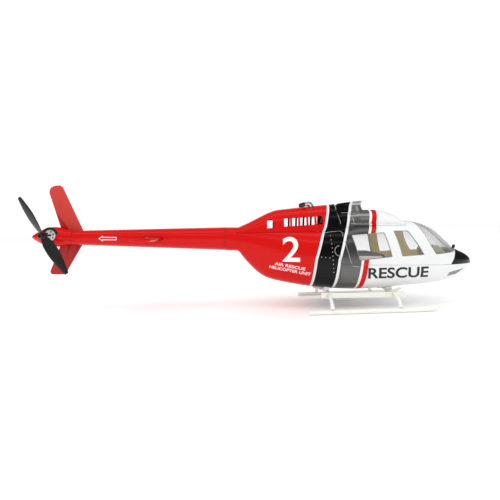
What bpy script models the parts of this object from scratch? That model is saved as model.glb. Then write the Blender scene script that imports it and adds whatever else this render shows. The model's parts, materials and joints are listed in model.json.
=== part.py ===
# Scale model helicopter fuselage: shells, glazing, tail boom, tail rotor and skid landing gear.
# Drawing frame, in millimetres: X = 0 on the mast axis and +X to the nose, -Y to starboard,
# Z = 0 on the tail boom's centreline. The airframe is then tilted nose-down by STANCE, so that
# the skids lie flat on Z = 0, and everything is scaled to metres.
import math

import bmesh
import bpy
from mathutils import Matrix, Vector

MM = 0.001
GAP = 0.3                      # clearance between neighbouring pieces
AXIS_TO_CENTRE = 108.4         # mast axis to the middle of the model's length

AROUND = 26                    # points round a body section
WALL = 1.2                     # moulded shell thickness
SIDE = 70.0                    # reach of a sideways cutter

# Body sections, as (X, value) points that a smooth curve joins
BODY_TOP = ((-136, 12.3), (-120, 12.2), (-100, 12.0), (-60, 12.6), (-17, 13.2), (-5, 16.0), (6, 18.6),
            (25, 19.3), (50, 19.8), (64, 19.3), (72, 17.5), (78.5, 15.0), (84.5, 11.5), (90.8, 6.2),
            (97, 0.5), (104.8, -7.0), (111.7, -10.7), (120.4, -14.5), (126.5, -18.5), (129.8, -22.8))
BODY_BOTTOM = ((-136, -12.6), (-122, -13.0), (-115, -21.0), (-106.3, -30.3), (-97.6, -37.8),
               (-88.8, -42.3), (-67, -47.2), (-30, -52.0), (0, -53.0), (30, -51.5), (55, -49.0),
               (81, -46.5), (98.6, -43.4), (107.4, -41.0), (116.1, -37.9), (124.8, -32.3),
               (129.8, -25.6))
BODY_HALF_WIDTH = ((-136, 12.4), (-122, 12.7), (-110, 14.5), (-90, 19.5), (-60, 26.0), (-30, 30.5),
                   (0, 33.0), (30, 33.6), (60, 33.2), (82, 30.8), (100, 25.5), (115, 17.5),
                   (125, 9.5), (129.8, 3.0))
BODY_WIDEST = ((-136, 0.0), (-114, -4.0), (-90, -9.0), (-77, -14.0), (-37, -23.0), (0, -25.0),
               (60, -24.0), (100, -24.5), (129.8, -24.3))
BODY_SQUARENESS = 2.6
REAR_STATIONS = (-134.6, -128, -122, -115, -106, -97, -88, -75, -55, -35, -10)
CABIN_STATIONS = (-25, 0, 22, 44, 60, 70, 78.5, 84.5, 90.8, 97, 104.8, 111.7, 118, 124, 127.6, 129.6)

SPLIT_X = -17.0                # joint between the rear body and the cabin
SILL_Z = -25.0                 # joint between the belly pan and the lift-off cabin
COWL_REAR_X = -122.0
FAIRING_FRONT_X = 53.3
COWL_SEAM = ((COWL_REAR_X, 6.0), (SPLIT_X, 8.5))
ROOF_SEAM = ((SPLIT_X, 8.5), (-5.0, 12.3), (6.0, 15.3), (FAIRING_FRONT_X, 15.3))
COWL_TOP = ((-122, 11.9), (-110.6, 17.1), (-97.6, 23.7), (-88.8, 28.0), (-80, 31.0), (-67, 32.6),
            (-49.6, 34.6), (-32, 36.2), (-17, 37.6))
FAIRING_TOP = ((-17, 31.3), (10, 31.3), (23.5, 31.5), (29.5, 31.0), (37.4, 29.0), (45.7, 25.6),
               (51.0, 21.6), (53.3, 19.7))

FRONT_DOOR_WINDOW = ((37.5, 9.1), (52.5, 9.3), (66.4, -14.9), (43.8, -16.5))
REAR_WINDOW = ((-5.1, 4.8), (28.2, 7.6), (34.3, -17.0), (1.7, -20.8))
WINDSHIELD = ((62.2, 30.0), (62.2, 18.6), (65.8, 11.1), (73.3, -5.7), (78.7, -14.7), (98.0, -12.9),
              (109.0, -9.9), (127.0, -6.0), (127.0, 30.0))
CHIN_WINDOW = ((92.7, -37.2), (94.2, -33.0), (104.0, -31.2), (114.0, -29.8), (110.0, -32.0), (104.2, -35.0))
DOOR_LINER = ((-9.5, 7.5), (30.0, 11.5), (60.5, 12.5), (71.5, -6.5), (77.2, -15.8), (95.0, -14.4),
              (95.0, -22.5), (-6.0, -22.5))
POST_HALF_WIDTH = 1.6          # centre post between the two windshield panes

BOOM_FRONT_X = -134.9
BOOM_REAR_X = -300.0
BOOM_RADIUS = ((-134.9, 12.35), (-289.4, 7.9), (-300.0, 7.6))
BOOM_CENTRE = ((-134.9, 0.0), (-300.0, 1.0))
BOOM_WALL = 1.1
POD_PROFILE = ((-300.3, 7.6), (-306, 8.0), (-311, 9.3), (-316, 10.5), (-321, 10.9), (-327, 10.2),
               (-333, 8.2), (-338.5, 5.5), (-343, 2.9), (-345.8, 0.9))
POD_CENTRE_Z = 1.8

TAIL_AXIS_X = -321.4
TAIL_AXIS_Z = 3.8
MOTOR_BORE_RADIUS = 7.2
PROP_PLANE_Y = -20.4
PROP_RADIUS = 46.5
PROP_LEAN = math.radians(32)   # upper blade leans aft of the vertical
PROP_CHORD = ((4.0, 5.0), (10.0, 8.4), (20.0, 11.0), (30.0, 10.0), (40.0, 6.8), (46.5, 2.6))
PROP_PITCH = ((4.0, 44.0), (20.0, 30.0), (35.0, 21.0), (46.5, 15.0))

FIN_INNER_Y = 8.2
FIN_THICKNESS = 2.4
FIN_OUTLINE = ((-332.6, 51.5), (-331.2, 56.2), (-327.0, 58.6), (-321.0, 59.3), (-318.2, 57.4),
               (-294.8, 7.9), (-293.2, 0.0), (-296.5, -7.8), (-309.7, -30.7), (-314.6, -39.3),
               (-316.6, -40.2), (-329.6, -40.2), (-331.6, -37.4), (-320.0, -7.8), (-309.5, 2.0),
               (-319.5, 11.6))

STABILISER_X = (-225.0, -201.0)
STABILISER_HALF_SPAN = 49.2
STABILISER_THICKNESS = 3.8

SKID_Y = 47.2
SKID_RADIUS = 1.9
SKID_SIDES = 12
SKID_PATH = ((-51.2, -69.4), (62.5, -65.7), (67.6, -65.0), (71.6, -63.7), (74.8, -62.1))
STANCE = math.atan2(SKID_PATH[1][1] - SKID_PATH[0][1], SKID_PATH[1][0] - SKID_PATH[0][0])
STRUT_X = (("rear", -28.3), ("front", 36.7))
STRUT_RADIUS = 1.7
STRUT_RISE = ((0.0, 13.6), (14.0, 13.6), (25.0, 13.3), (33.0, 12.3), (38.5, 10.6), (42.5, 8.4),
              (45.4, 5.8), (SKID_Y, SKID_RADIUS + GAP + 0.4))   # height over the skid's centreline
SADDLE_Y = (11.5, 18.0)
SADDLE_HALF_LENGTH = 2.7
STEP_X = (-35.8, 47.6)
STEP_Y = (25.0, 30.5)
STEP_Z = (-58.4, -53.0)
STEP_LEAN = 0.016              # the bars climb a little towards the nose


def smooth(table, x):
    """Value at x on a monotone cubic through the table's points."""
    points = sorted(table)
    if x <= points[0][0]:
        return points[0][1]
    if x >= points[-1][0]:
        return points[-1][1]
    i = max(k for k, p in enumerate(points[:-1]) if p[0] <= x)
    slopes = [(b[1] - a[1]) / (b[0] - a[0]) for a, b in zip(points, points[1:])]

    def tangent(k):
        if k == 0:
            return slopes[0]
        if k == len(points) - 1:
            return slopes[-1]
        if slopes[k - 1] * slopes[k] <= 0.0:
            return 0.0
        return 2.0 * slopes[k - 1] * slopes[k] / (slopes[k - 1] + slopes[k])

    step = points[i + 1][0] - points[i][0]
    t = (x - points[i][0]) / step
    return ((2 * t ** 3 - 3 * t ** 2 + 1) * points[i][1] + (t ** 3 - 2 * t ** 2 + t) * step * tangent(i)
            + (3 * t ** 2 - 2 * t ** 3) * points[i + 1][1] + (t ** 3 - t ** 2) * step * tangent(i + 1))


def straight(table, x):
    """Value at x on straight lines between the table's points."""
    points = sorted(table)
    for (x0, v0), (x1, v1) in zip(points, points[1:]):
        if x <= x1:
            return v0 + (v1 - v0) * (x - x0) / (x1 - x0)
    return points[-1][1]


# ---- building blocks ------------------------------------------------------------------------

def clear_scene():
    for item in list(bpy.data.objects):
        bpy.data.objects.remove(item, do_unlink=True)


def material(name, colour, roughness=0.4, metallic=0.0):
    found = bpy.data.materials.get(name)
    if found:
        return found
    made = bpy.data.materials.new(name)
    made.use_nodes = True
    shader = made.node_tree.nodes["Principled BSDF"]
    shader.inputs["Base Color"].default_value = (*colour, 1.0)
    shader.inputs["Roughness"].default_value = roughness
    shader.inputs["Metallic"].default_value = metallic
    return made


def solid(name, points, faces):
    """One mesh object from points in millimetres, with its faces turned outwards."""
    mesh = bpy.data.meshes.new(name)
    mesh.from_pydata([Vector(p) * MM for p in points], [], faces)
    shape = bmesh.new()
    shape.from_mesh(mesh)
    bmesh.ops.recalc_face_normals(shape, faces=shape.faces)
    shape.to_mesh(mesh)
    shape.free()
    made = bpy.data.objects.new(name, mesh)
    bpy.context.collection.objects.link(made)
    return made


def loft(name, rings):
    """Closed solid through rings of equal point counts, capped at both ends."""
    size = len(rings[0])
    points = [p for ring in rings for p in ring]
    faces = []
    for k in range(len(rings) - 1):
        for i in range(size):
            j = (i + 1) % size
            faces.append((k * size + i, k * size + j, (k + 1) * size + j, (k + 1) * size + i))
    faces.append(tuple(range(size)))
    faces.append(tuple(range((len(rings) - 1) * size, len(rings) * size)))
    return solid(name, points, faces)


def prism(name, outline, low, high):
    """Outline in X-Z, extruded sideways from Y = low to Y = high."""
    return loft(name, [[(x, y, z) for x, z in outline] for y in (low, high)])


def block(name, low, high):
    outline = ((low[0], low[2]), (high[0], low[2]), (high[0], high[2]), (low[0], high[2]))
    return prism(name, outline, low[1], high[1])


def turned(name, profile, sides=24):
    """Solid of revolution about Z through (radius, z) points, closed at both ends on the axis."""
    rings = []
    for radius, z in profile:
        rings.append([(radius * math.cos(2 * math.pi * k / sides),
                       radius * math.sin(2 * math.pi * k / sides), z) for k in range(sides)])
    return loft(name, rings)


def rod(name, start, end, radius, sides=16):
    """Round bar between two points."""
    along = Vector(end) - Vector(start)
    made = turned(name, ((radius, 0.0), (radius, along.length)), sides)
    turn = along.to_track_quat("Z", "Y").to_matrix().to_4x4()
    made.data.transform(Matrix.Translation(Vector(start) * MM) @ turn)
    return made


def sweep(name, path, radius, sides=12, side_axis=(0, 1, 0)):
    """Round bar along a plane path; side_axis is the path plane's normal."""
    path = [Vector(p) for p in path]
    side = Vector(side_axis)
    rings = []
    for k, point in enumerate(path):
        ahead = path[min(k + 1, len(path) - 1)] - path[max(k - 1, 0)]
        up = side.cross(ahead).normalized()
        size = radius[k] if isinstance(radius, (list, tuple)) else radius
        rings.append([point + size * (math.cos(a) * up + math.sin(a) * side)
                      for a in (2 * math.pi * (i + 0.5) / sides for i in range(sides))])
    return loft(name, rings)


def combine(target, tool, operation, keep_tool=False):
    """Boolean of target with tool, applied at once."""
    modifier = target.modifiers.new(operation.lower(), "BOOLEAN")
    modifier.operation = operation
    modifier.object = tool
    graph = bpy.context.evaluated_depsgraph_get()
    result = bpy.data.meshes.new_from_object(target.evaluated_get(graph))
    target.modifiers.clear()
    target.data = result
    if not keep_tool:
        bpy.data.objects.remove(tool, do_unlink=True)
    return target


def cut(target, *tools):
    for tool in tools:
        combine(target, tool, "DIFFERENCE")
    return target


def common(target, *tools):
    for tool in tools:
        combine(target, tool, "INTERSECT")
    return target


def inset_outline(outline, distance):
    """Outline with each edge moved inwards by distance."""
    area = sum(a[0] * b[1] - b[0] * a[1] for a, b in zip(outline, outline[1:] + outline[:1]))
    turn = 1.0 if area > 0 else -1.0
    made = []
    for k, here in enumerate(outline):
        before = Vector(here) - Vector(outline[k - 1])
        after = Vector(outline[(k + 1) % len(outline)]) - Vector(here)
        normal_a = Vector((-before.y, before.x)).normalized() * turn
        normal_b = Vector((-after.y, after.x)).normalized() * turn
        bisector = (normal_a + normal_b).normalized()
        made.append(tuple(Vector(here) + bisector * distance / bisector.dot(normal_a)))
    return tuple(made)


def mirrored(source, name):
    """Port copy of a starboard piece."""
    made = source.copy()
    made.data = source.data.copy()
    made.name = name
    made.data.transform(Matrix.Scale(-1, 4, (0, 1, 0)))
    made.data.flip_normals()
    bpy.context.collection.objects.link(made)
    return made


# ---- body surface ---------------------------------------------------------------------------

def body_half_width_at(x, z):
    """Half width of the body's section at station x and height z, above its widest line."""
    share = (z - smooth(BODY_WIDEST, x)) / (smooth(BODY_TOP, x) - smooth(BODY_WIDEST, x))
    power = BODY_SQUARENESS
    return smooth(BODY_HALF_WIDTH, x) * max(0.0, 1 - abs(share) ** power) ** (1 / power)


def body_ring(x, inset):
    middle = smooth(BODY_WIDEST, x)
    width = max(smooth(BODY_HALF_WIDTH, x) - inset, 0.4)
    up = max(smooth(BODY_TOP, x) - inset - middle, 0.3)
    down = max(middle - smooth(BODY_BOTTOM, x) - inset, 0.3)
    ring = []
    for k in range(AROUND):
        angle = 2 * math.pi * k / AROUND
        across, rise = math.sin(angle), math.cos(angle)
        power = 2.0 / BODY_SQUARENESS
        height = up if rise > 0 else down
        ring.append((x, -math.copysign(width * abs(across) ** power, across),
                     middle + math.copysign(height * abs(rise) ** power, rise)))
    return ring


def body_loft(name, stations, inset=0.0):
    return loft(name, [body_ring(x, inset) for x in stations])


def nose_trimmed(stations, inset):
    """Stations of an inner surface, drawn back from the nose tip by its inset."""
    tip = stations[-1] - inset * 1.6
    return [x for x in stations if x < tip - 1.0] + [tip]


def arch_ring(x, base_z, half_width, top, inset, depth):
    """Arched section of a cowl, standing on base_z, with straight legs reaching depth below it."""
    arc = [math.pi * k / 14 for k in range(15)]
    ring = []
    for angle in arc:
        across, rise = math.cos(angle), math.sin(angle)
        ring.append((x, -math.copysign((half_width - inset) * abs(across) ** 0.9, across),
                     base_z + max(top - inset - base_z, 0.5) * rise ** 0.9))
    return [(x, ring[0][1], base_z - depth)] + ring + [(x, ring[-1][1], base_z - depth)]


def cowl_loft(name, seam, top, stations, inset=0.0, depth=0.0):
    rings = []
    for x in stations:
        base = straight(seam, x) + GAP / 2
        rings.append(arch_ring(x, base, body_half_width_at(x, base), smooth(top, x), inset, depth))
    return loft(name, rings)


# ---- shells ---------------------------------------------------------------------------------

def seam_cutter(name, seam, rear_x, front_x):
    """Everything above a cowl's seam, between two stations."""
    line = [(x, z - GAP / 2) for x, z in seam]
    if rear_x < line[0][0]:
        line.insert(0, (rear_x, line[0][1]))
    if front_x > line[-1][0]:
        line.append((front_x, line[-1][1]))
    return prism(name, line + [(front_x, SIDE), (rear_x, SIDE)], -SIDE, SIDE)


def make_rear_body():
    shell = body_loft("rear_body_shell", REAR_STATIONS)
    inner = body_loft("inner", (-140,) + REAR_STATIONS, WALL)
    behind = block("behind", (SPLIT_X - GAP / 2, -SIDE, -SIDE), (20, SIDE, SIDE))
    cut(shell, inner, behind, seam_cutter("above", COWL_SEAM, COWL_REAR_X, 0.0))
    return shell


def make_cowl():
    stations = (COWL_REAR_X + GAP, -116, -110.6, -104, -97.6, -88.8, -80, -67, -50, -32, SPLIT_X - GAP)
    cowl = cowl_loft("engine_cowl", COWL_SEAM, COWL_TOP, stations)
    inner_stations = [-117.5] + list(stations[2:-1]) + [SPLIT_X - GAP - WALL]
    cut(cowl, cowl_loft("inner", COWL_SEAM, COWL_TOP, inner_stations, WALL, 6.0))
    cut(cowl, prism("slot", ((-90.0, 11.2), (-83.4, 11.5), (-83.4, 20.1), (-90.0, 19.7)), -SIDE, SIDE))
    for k in range(5):
        rear = -72.4 + 8.4 * k
        low = 12.8 + 0.55 * k
        slot = ((rear, low), (rear + 6.3, low + 0.6), (rear + 6.3, low + 9.6), (rear, low + 9.0))
        cut(cowl, prism("slot", slot, -SIDE, SIDE))
    for side in (-7.0, 7.0):
        cut(cowl, rod("hole", (-42.5, side, 26), (-42.5, side, 45), 2.4 + GAP))
    return cowl


def make_cabin():
    cabin = body_loft("cabin_shell", CABIN_STATIONS)
    inner = body_loft("inner", (-30,) + tuple(nose_trimmed(CABIN_STATIONS, WALL)), WALL)
    cut(cabin, inner)
    pan = cabin.copy()
    pan.data = cabin.data.copy()
    pan.name = "belly_pan"
    bpy.context.collection.objects.link(pan)
    front = SPLIT_X + GAP / 2
    cut(cabin, block("aft", (-60, -SIDE, -SIDE), (front, SIDE, SIDE)),
        block("below", (-60, -SIDE, -SIDE), (150, SIDE, SILL_Z + GAP / 2)),
        seam_cutter("roof", ROOF_SEAM, SPLIT_X - 10, FAIRING_FRONT_X),
        prism("front_doors", FRONT_DOOR_WINDOW, -SIDE, SIDE),
        prism("rear_doors", REAR_WINDOW, -SIDE, SIDE),
        prism("pane", WINDSHIELD, -SIDE, -POST_HALF_WIDTH),
        prism("pane", WINDSHIELD, POST_HALF_WIDTH, SIDE))
    cut(pan, block("aft", (-60, -SIDE, -SIDE), (front, SIDE, SIDE)),
        block("above", (-60, -SIDE, SILL_Z - GAP / 2), (150, SIDE, SIDE)),
        prism("chins", CHIN_WINDOW, -SIDE, SIDE))
    return cabin, pan


def make_fairing():
    stations = (SPLIT_X + GAP / 2, -5, 0, 6, 15, 23.5, 29.5, 37.4, 42, 45.7, 49, 51.5, FAIRING_FRONT_X - GAP)
    fairing = cowl_loft("roof_fairing", ROOF_SEAM, FAIRING_TOP, stations)
    inner = cowl_loft("inner", ROOF_SEAM, FAIRING_TOP, [-25] + list(stations[1:-2]) + [49.5], WALL, 6.0)
    return cut(fairing, inner, rod("mast_hole", (-0.4, 0, 10), (-0.4, 0, 45), 9.6, 24))


def make_collar():
    """Mast collar: a waisted chimney whose rim rises towards the nose."""
    profile = ((14.3, 22.0), (14.3, 30.2), (13.4, 32.6), (12.2, 34.8), (12.0, 36.4), (12.6, 37.8), (13.8, 39.3))
    collar = turned("mast_collar", profile, 28)
    collar.data.transform(Matrix.Translation((-0.4 * MM, 0, 0)))
    for vertex in collar.data.vertices:
        rise = max(vertex.co.z / MM - 30.2, 0.0) / 9.1
        vertex.co.z += rise * vertex.co.x / 13.8 * 1.5
    scoop = ((-16.2, 24.0), (-2.0, 24.0), (-2.0, 38.4), (-13.0, 37.6), (-16.2, 35.6))
    combine(collar, prism("scoop", scoop, -10.5, 10.5), "UNION")
    cut(collar, rod("bore", (-0.4, 0, 10), (-0.4, 0, 60), 10.4, 28))
    stations = (-20, -8, 0, 10, 23.5)
    return cut(collar, cowl_loft("seat", ROOF_SEAM, FAIRING_TOP, stations, -GAP, 20.0))


def make_pane(name, outline, low, high, outer, inner):
    """Pane of the body's own curve, fitted into its window with a gap all round."""
    stations = CABIN_STATIONS
    pane = body_loft(name, nose_trimmed(stations, outer), outer)
    cut(pane, body_loft("inner", (-30,) + tuple(nose_trimmed(stations, inner)), inner))
    return common(pane, prism("window", inset_outline(outline, GAP), low, high))


def make_glazing():
    panes = []
    for name, outline in (("front_door_window", FRONT_DOOR_WINDOW), ("rear_door_window", REAR_WINDOW),
                          ("windshield", WINDSHIELD), ("chin_window", CHIN_WINDOW)):
        right = make_pane(name + "_right", outline, -SIDE, -POST_HALF_WIDTH - GAP, 0.25, 0.85)
        panes += [right, mirrored(right, name + "_left")]
    return panes


def make_liners():
    """Tan inner door frames, one moulding on each side, just inside the cabin wall."""
    outer = WALL + GAP
    frame = body_loft("door_liner_right", nose_trimmed(CABIN_STATIONS, outer), outer)
    inner = outer + 1.2
    cut(frame, body_loft("inner", (-30,) + tuple(nose_trimmed(CABIN_STATIONS, inner)), inner))
    common(frame, prism("side", DOOR_LINER, -SIDE, -15.0))
    cut(frame, prism("front", inset_outline(FRONT_DOOR_WINDOW, 0.8), -SIDE, 0),
        prism("rear", inset_outline(REAR_WINDOW, 0.8), -SIDE, 0))
    return [frame, mirrored(frame, "door_liner_left")]


# ---- cabin and inner structure --------------------------------------------------------------

TRAY_Z = -38.0
TRAY_THICKNESS = 2.0
SEAT_BASE_Z = TRAY_Z + TRAY_THICKNESS + GAP
BENCH_HALF_WIDTH = 25.0
MAGNET_X = 101.0


def make_interior():
    """Mechanics tray on two formers, bench seat and instrument panel."""
    top = TRAY_Z + TRAY_THICKNESS
    tray = block("mechanics_tray", (-60, -16, TRAY_Z), (74, 16, top))
    for x in (-40, -10):
        cut(tray, block("slot", (x, -3, TRAY_Z - 5), (x + 22, 3, top + 5)))
    made = [tray]
    for name, x, thickness in (("tray_former_rear", -46.0, 3.0), ("tray_former_front", 52.0, 3.0)):
        slab = body_loft(name, (x, x + thickness), WALL + 2 * GAP)
        cut(slab, block("above", (-99, -SIDE, TRAY_Z - GAP), (99, SIDE, SIDE)),
            rod("hole", (x - 9, 0, -48), (x + 19, 0, -48), 3.0))
        made.append(slab)
    bench = ((-6.0, SEAT_BASE_Z), (30.0, SEAT_BASE_Z), (30.0, -18.5), (28.8, -15.8), (26.0, -14.5),
             (-6.0, -14.5))
    made.append(prism("bench_seat", bench, -BENCH_HALF_WIDTH, BENCH_HALF_WIDTH))
    panel = ((80.0, -13.5), (83.0, -6.2), (88.5, -6.2), (95.5, -13.5), (95.5, -20.5), (88.5, -22.5))
    made.append(prism("instrument_panel", panel, -17.0, 17.0))
    return made


def make_magnets():
    """Two button magnets in the cabin's sill and their partners on the belly pan."""
    made = []
    for place, y in (("right", -1), ("left", 1)):
        for name, low in (("cabin_magnet_", SILL_Z + GAP / 2), ("pan_magnet_", SILL_Z - GAP / 2 - 2.0)):
            at = y * (smooth(BODY_HALF_WIDTH, MAGNET_X) - WALL - 3.4)
            made.append(rod(name + place, (MAGNET_X, at, low), (MAGNET_X, at, low + 2.0), 2.0, 16))
    return made


# ---- boom, tail and tail rotor --------------------------------------------------------------

def tube_ring(x, radius, centre_z, sides=24):
    return [(x, -radius * math.sin(2 * math.pi * k / sides), centre_z + radius * math.cos(2 * math.pi * k / sides))
            for k in range(sides)]


def boom_loft(name, stations, inset):
    return loft(name, [tube_ring(x, straight(BOOM_RADIUS, x) - inset, straight(BOOM_CENTRE, x)) for x in stations])


def stabiliser_section(grow):
    """Flat-topped aerofoil, rounded nose forward, as (X, Z) points."""
    rear, front = STABILISER_X
    chord = front - rear
    shape = ((0.0, 0.50), (0.10, 0.72), (0.90, 1.0), (0.97, 0.85), (1.0, 0.60), (0.97, 0.32),
             (0.88, 0.12), (0.70, 0.0), (0.45, 0.08), (0.15, 0.34))
    low = -STABILISER_THICKNESS / 2
    outline = tuple((rear + chord * u, low + STABILISER_THICKNESS * v) for u, v in shape)
    return inset_outline(outline, -grow) if grow else outline


def make_boom():
    stations = (BOOM_FRONT_X, -180, -230, -289.4, BOOM_REAR_X)
    boom = boom_loft("tail_boom", stations, 0.0)
    cut(boom, boom_loft("inner", (BOOM_FRONT_X + 1,) + stations[1:-1] + (-310,), BOOM_WALL))
    cut(boom, prism("slot", stabiliser_section(GAP), -SIDE, SIDE))
    sleeve = boom_loft("boom_joint_sleeve", (-122, -134.9, -146), BOOM_WALL + GAP)
    cut(sleeve, boom_loft("inner", (-110, -134.9, -160), BOOM_WALL + GAP + 1.2))
    return [boom, sleeve]


def pod_loft(name, inset):
    rings = []
    for x, radius in POD_PROFILE:
        blend = min(max((BOOM_REAR_X - x) / 16.0, 0.0), 1.0)
        rings.append(tube_ring(x, radius - inset, 1.0 + (POD_CENTRE_Z - 1.0) * blend))
    return loft(name, rings)


def across(name, radius, y0, y1, sides=24):
    """Round bar on the tail rotor's axis."""
    return rod(name, (TAIL_AXIS_X, y0, TAIL_AXIS_Z), (TAIL_AXIS_X, y1, TAIL_AXIS_Z), radius, sides)


def make_tail():
    pod = pod_loft("tail_pod", 0.0)
    cut(pod, across("motor_bore", MOTOR_BORE_RADIUS, -20, 5.0),
        rod("wire_way", (-290, 0, 1.0), (-318, 0, 1.5), 2.6))
    fin = prism("fin", FIN_OUTLINE, FIN_INNER_Y, FIN_INNER_Y + FIN_THICKNESS)
    cut(fin, pod_loft("seat", -GAP))
    for name, z in (("a", 6.0), ("b", -4.0)):
        cut(fin, rod(name, (-300.2, 6, z), (-300.2, 14, z), 1.2))
    made = [pod, fin]
    for name, z in (("fin_screw_upper", 6.0), ("fin_screw_lower", -4.0)):
        shank = rod(name, (-300.2, FIN_INNER_Y + 0.2, z), (-300.2, FIN_INNER_Y + FIN_THICKNESS + 0.5, z), 0.9)
        head_y = FIN_INNER_Y + FIN_THICKNESS + GAP
        made.append(combine(shank, rod("head", (-300.2, head_y, z), (-300.2, head_y + 1.2, z), 2.0), "UNION"))
    made.append(prism("stabiliser", stabiliser_section(0.0), -STABILISER_HALF_SPAN, STABILISER_HALF_SPAN))
    return made


def make_motor():
    """Fixed base and ring, and the bell, shaft, propeller and nut that turn on the axis."""
    ring = across("motor_ring", 8.2, -10.6, -7.0, 32)
    cut(ring, across("bore", 6.5, -20, 0, 32), pod_loft("seat", -GAP))
    base = across("motor_base", 6.6, 1.5, 4.6)
    combine(base, across("post", 2.6, -5.0, 3.0), "UNION")
    cut(base, across("bearing", 1.3, -10, 10))
    bell = across("motor_bell", 6.1, -8.6, 1.0, 32)
    cut(bell, across("inside", 5.2, -7.4, 5.0, 32), across("hole", 1.3, -20, 5))
    for k in range(6):
        vent = block("vent", (2.6, -12, -0.7), (4.9, -5, 0.7))
        vent.data.transform(Matrix.Translation((TAIL_AXIS_X * MM, 0, TAIL_AXIS_Z * MM))
                            @ Matrix.Rotation(math.tau * k / 6, 4, "Y"))
        cut(bell, vent)
    shaft = across("motor_shaft", 1.0, -24.6, 4.0, 16)
    nut = across("prop_nut", 2.6, PROP_PLANE_Y - 5.2, PROP_PLANE_Y - 2.9, 6)
    cut(nut, across("hole", 1.3, -40, 0, 16))
    return [ring, base], [bell, shaft, nut]


def blade_ring(radius):
    """Section of a blade that points up +Z, at the given radius."""
    chord = smooth(PROP_CHORD, radius)
    pitch = math.radians(smooth(PROP_PITCH, radius))
    thick = 0.5 + 0.07 * chord
    shape = ((-0.5, 0.0), (-0.25, 0.42), (0.15, 0.5), (0.5, 0.12), (0.5, -0.12), (0.15, -0.42), (-0.25, -0.3))
    ring = []
    for along, over in shape:
        u, v = along * chord, over * thick
        ring.append((u * math.cos(pitch) - v * math.sin(pitch),
                     -(u * math.sin(pitch) + v * math.cos(pitch)), radius))
    return ring


def make_propeller():
    prop = across("tail_prop", 3.7, PROP_PLANE_Y - 2.6, PROP_PLANE_Y + 2.6)
    for turn in (0.0, math.pi):
        blade = loft("blade", [blade_ring(r) for r in (2.2, 6, 10, 15, 20, 25, 30, 35, 40, 44, PROP_RADIUS)])
        blade.data.transform(Matrix.Translation(Vector((TAIL_AXIS_X, PROP_PLANE_Y, TAIL_AXIS_Z)) * MM)
                             @ Matrix.Rotation(turn - PROP_LEAN, 4, "Y"))
        combine(prop, blade, "UNION")
    return cut(prop, across("hole", 1.3, -40, 0, 16))


# ---- landing gear and exhausts --------------------------------------------------------------

def strut_path(x):
    half = [(y, straight(SKID_PATH, x) + rise) for y, rise in STRUT_RISE]
    return [(x, -y, z) for y, z in reversed(half[1:])] + [(x, y, z) for y, z in half]


def make_strut(name, x, grow=0.0):
    path = strut_path(x)
    radius = [STRUT_RADIUS + grow] * len(path)
    if not grow:
        radius[0] = radius[-1] = STRUT_RADIUS * 1.25
    return sweep(name, path, radius, 10, (1, 0, 0))


def make_gear():
    made = []
    bar = [(x, z + STEP_LEAN * x) for x, z in ((STEP_X[0], STEP_Z[0]), (STEP_X[1], STEP_Z[0]),
                                               (STEP_X[1], STEP_Z[1]), (STEP_X[0], STEP_Z[1]))]
    step = prism("step_bar_right", bar, -STEP_Y[1], -STEP_Y[0])
    for place, x in STRUT_X:
        cut(step, make_strut("strut", x, GAP))
        made.append(make_strut("cross_tube_" + place, x))
        for side, y in (("right", -1), ("left", 1)):
            saddle = block("belly_saddle_%s_%s" % (place, side), (x - SADDLE_HALF_LENGTH, SADDLE_Y[0], -60),
                           (x + SADDLE_HALF_LENGTH, SADDLE_Y[1], -45))
            saddle.data.transform(Matrix.Diagonal((1, y, 1, 1)))
            if y < 0:
                saddle.data.flip_normals()
            cut(saddle, make_strut("strut", x, GAP), body_loft("belly", (x - 9, x, x + 9), -GAP),
                block("under", (x - 9, -SIDE, -70), (x + 9, SIDE, strut_path(x)[0][2] + 8.0)))
            made.append(saddle)
    made += [step, mirrored(step, "step_bar_left")]
    skid = sweep("skid_right", [(x, -SKID_Y, z) for x, z in SKID_PATH], SKID_RADIUS, SKID_SIDES)
    return made + [skid, mirrored(skid, "skid_left")]


def make_exhausts():
    """Chrome elbows that rise out of the cowl and turn aft."""
    bend = [(-46.2 + 3.7 * math.cos(a), 0, 34.2 + 3.7 * math.sin(a))
            for a in (math.pi / 2 * k / 4 for k in range(5))]
    path = [(-42.5, 0, 28.0)] + bend + [(-54.0, 0, 36.0)]
    right = sweep("exhaust_right", path, 2.1)
    mouth = sweep("mouth", path[1:] + [(-60.0, 0, 34.6)], 1.5)
    cut(right, mouth)
    right.data.transform(Matrix.Translation((0, -7.0 * MM, 0)))
    return [right, mirrored(right, "exhaust_left")]


def make_nose_post():
    return rod("nose_post", (112.3, 0, -10.4), (113.8, 0, -6.4), 1.6, 12)


# ---- finishes and assembly ------------------------------------------------------------------

RED = ("red_gloss", (0.55, 0.006, 0.004), 0.15)
WHITE = ("white_gloss", (0.82, 0.82, 0.82), 0.15)
GREY = ("grey_metallic", (0.09, 0.09, 0.088), 0.3, 0.7)
BLACK = ("black_gloss", (0.006, 0.006, 0.006), 0.15)
CREAM = ("cream_plastic", (0.84, 0.83, 0.76), 0.4)
TAN = ("tan_plastic", (0.42, 0.32, 0.14), 0.6)
CLEAR = ("clear_pane", (0.85, 0.88, 0.88), 0.05)
CHROME = ("chrome", (0.62, 0.62, 0.62), 0.1, 1.0)
SILVER = ("silver_metal", (0.75, 0.74, 0.72), 0.3, 1.0)
DARK = ("dark_plastic", (0.012, 0.012, 0.013), 0.45)
WOOD = ("plywood", (0.45, 0.28, 0.13), 0.7)

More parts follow.
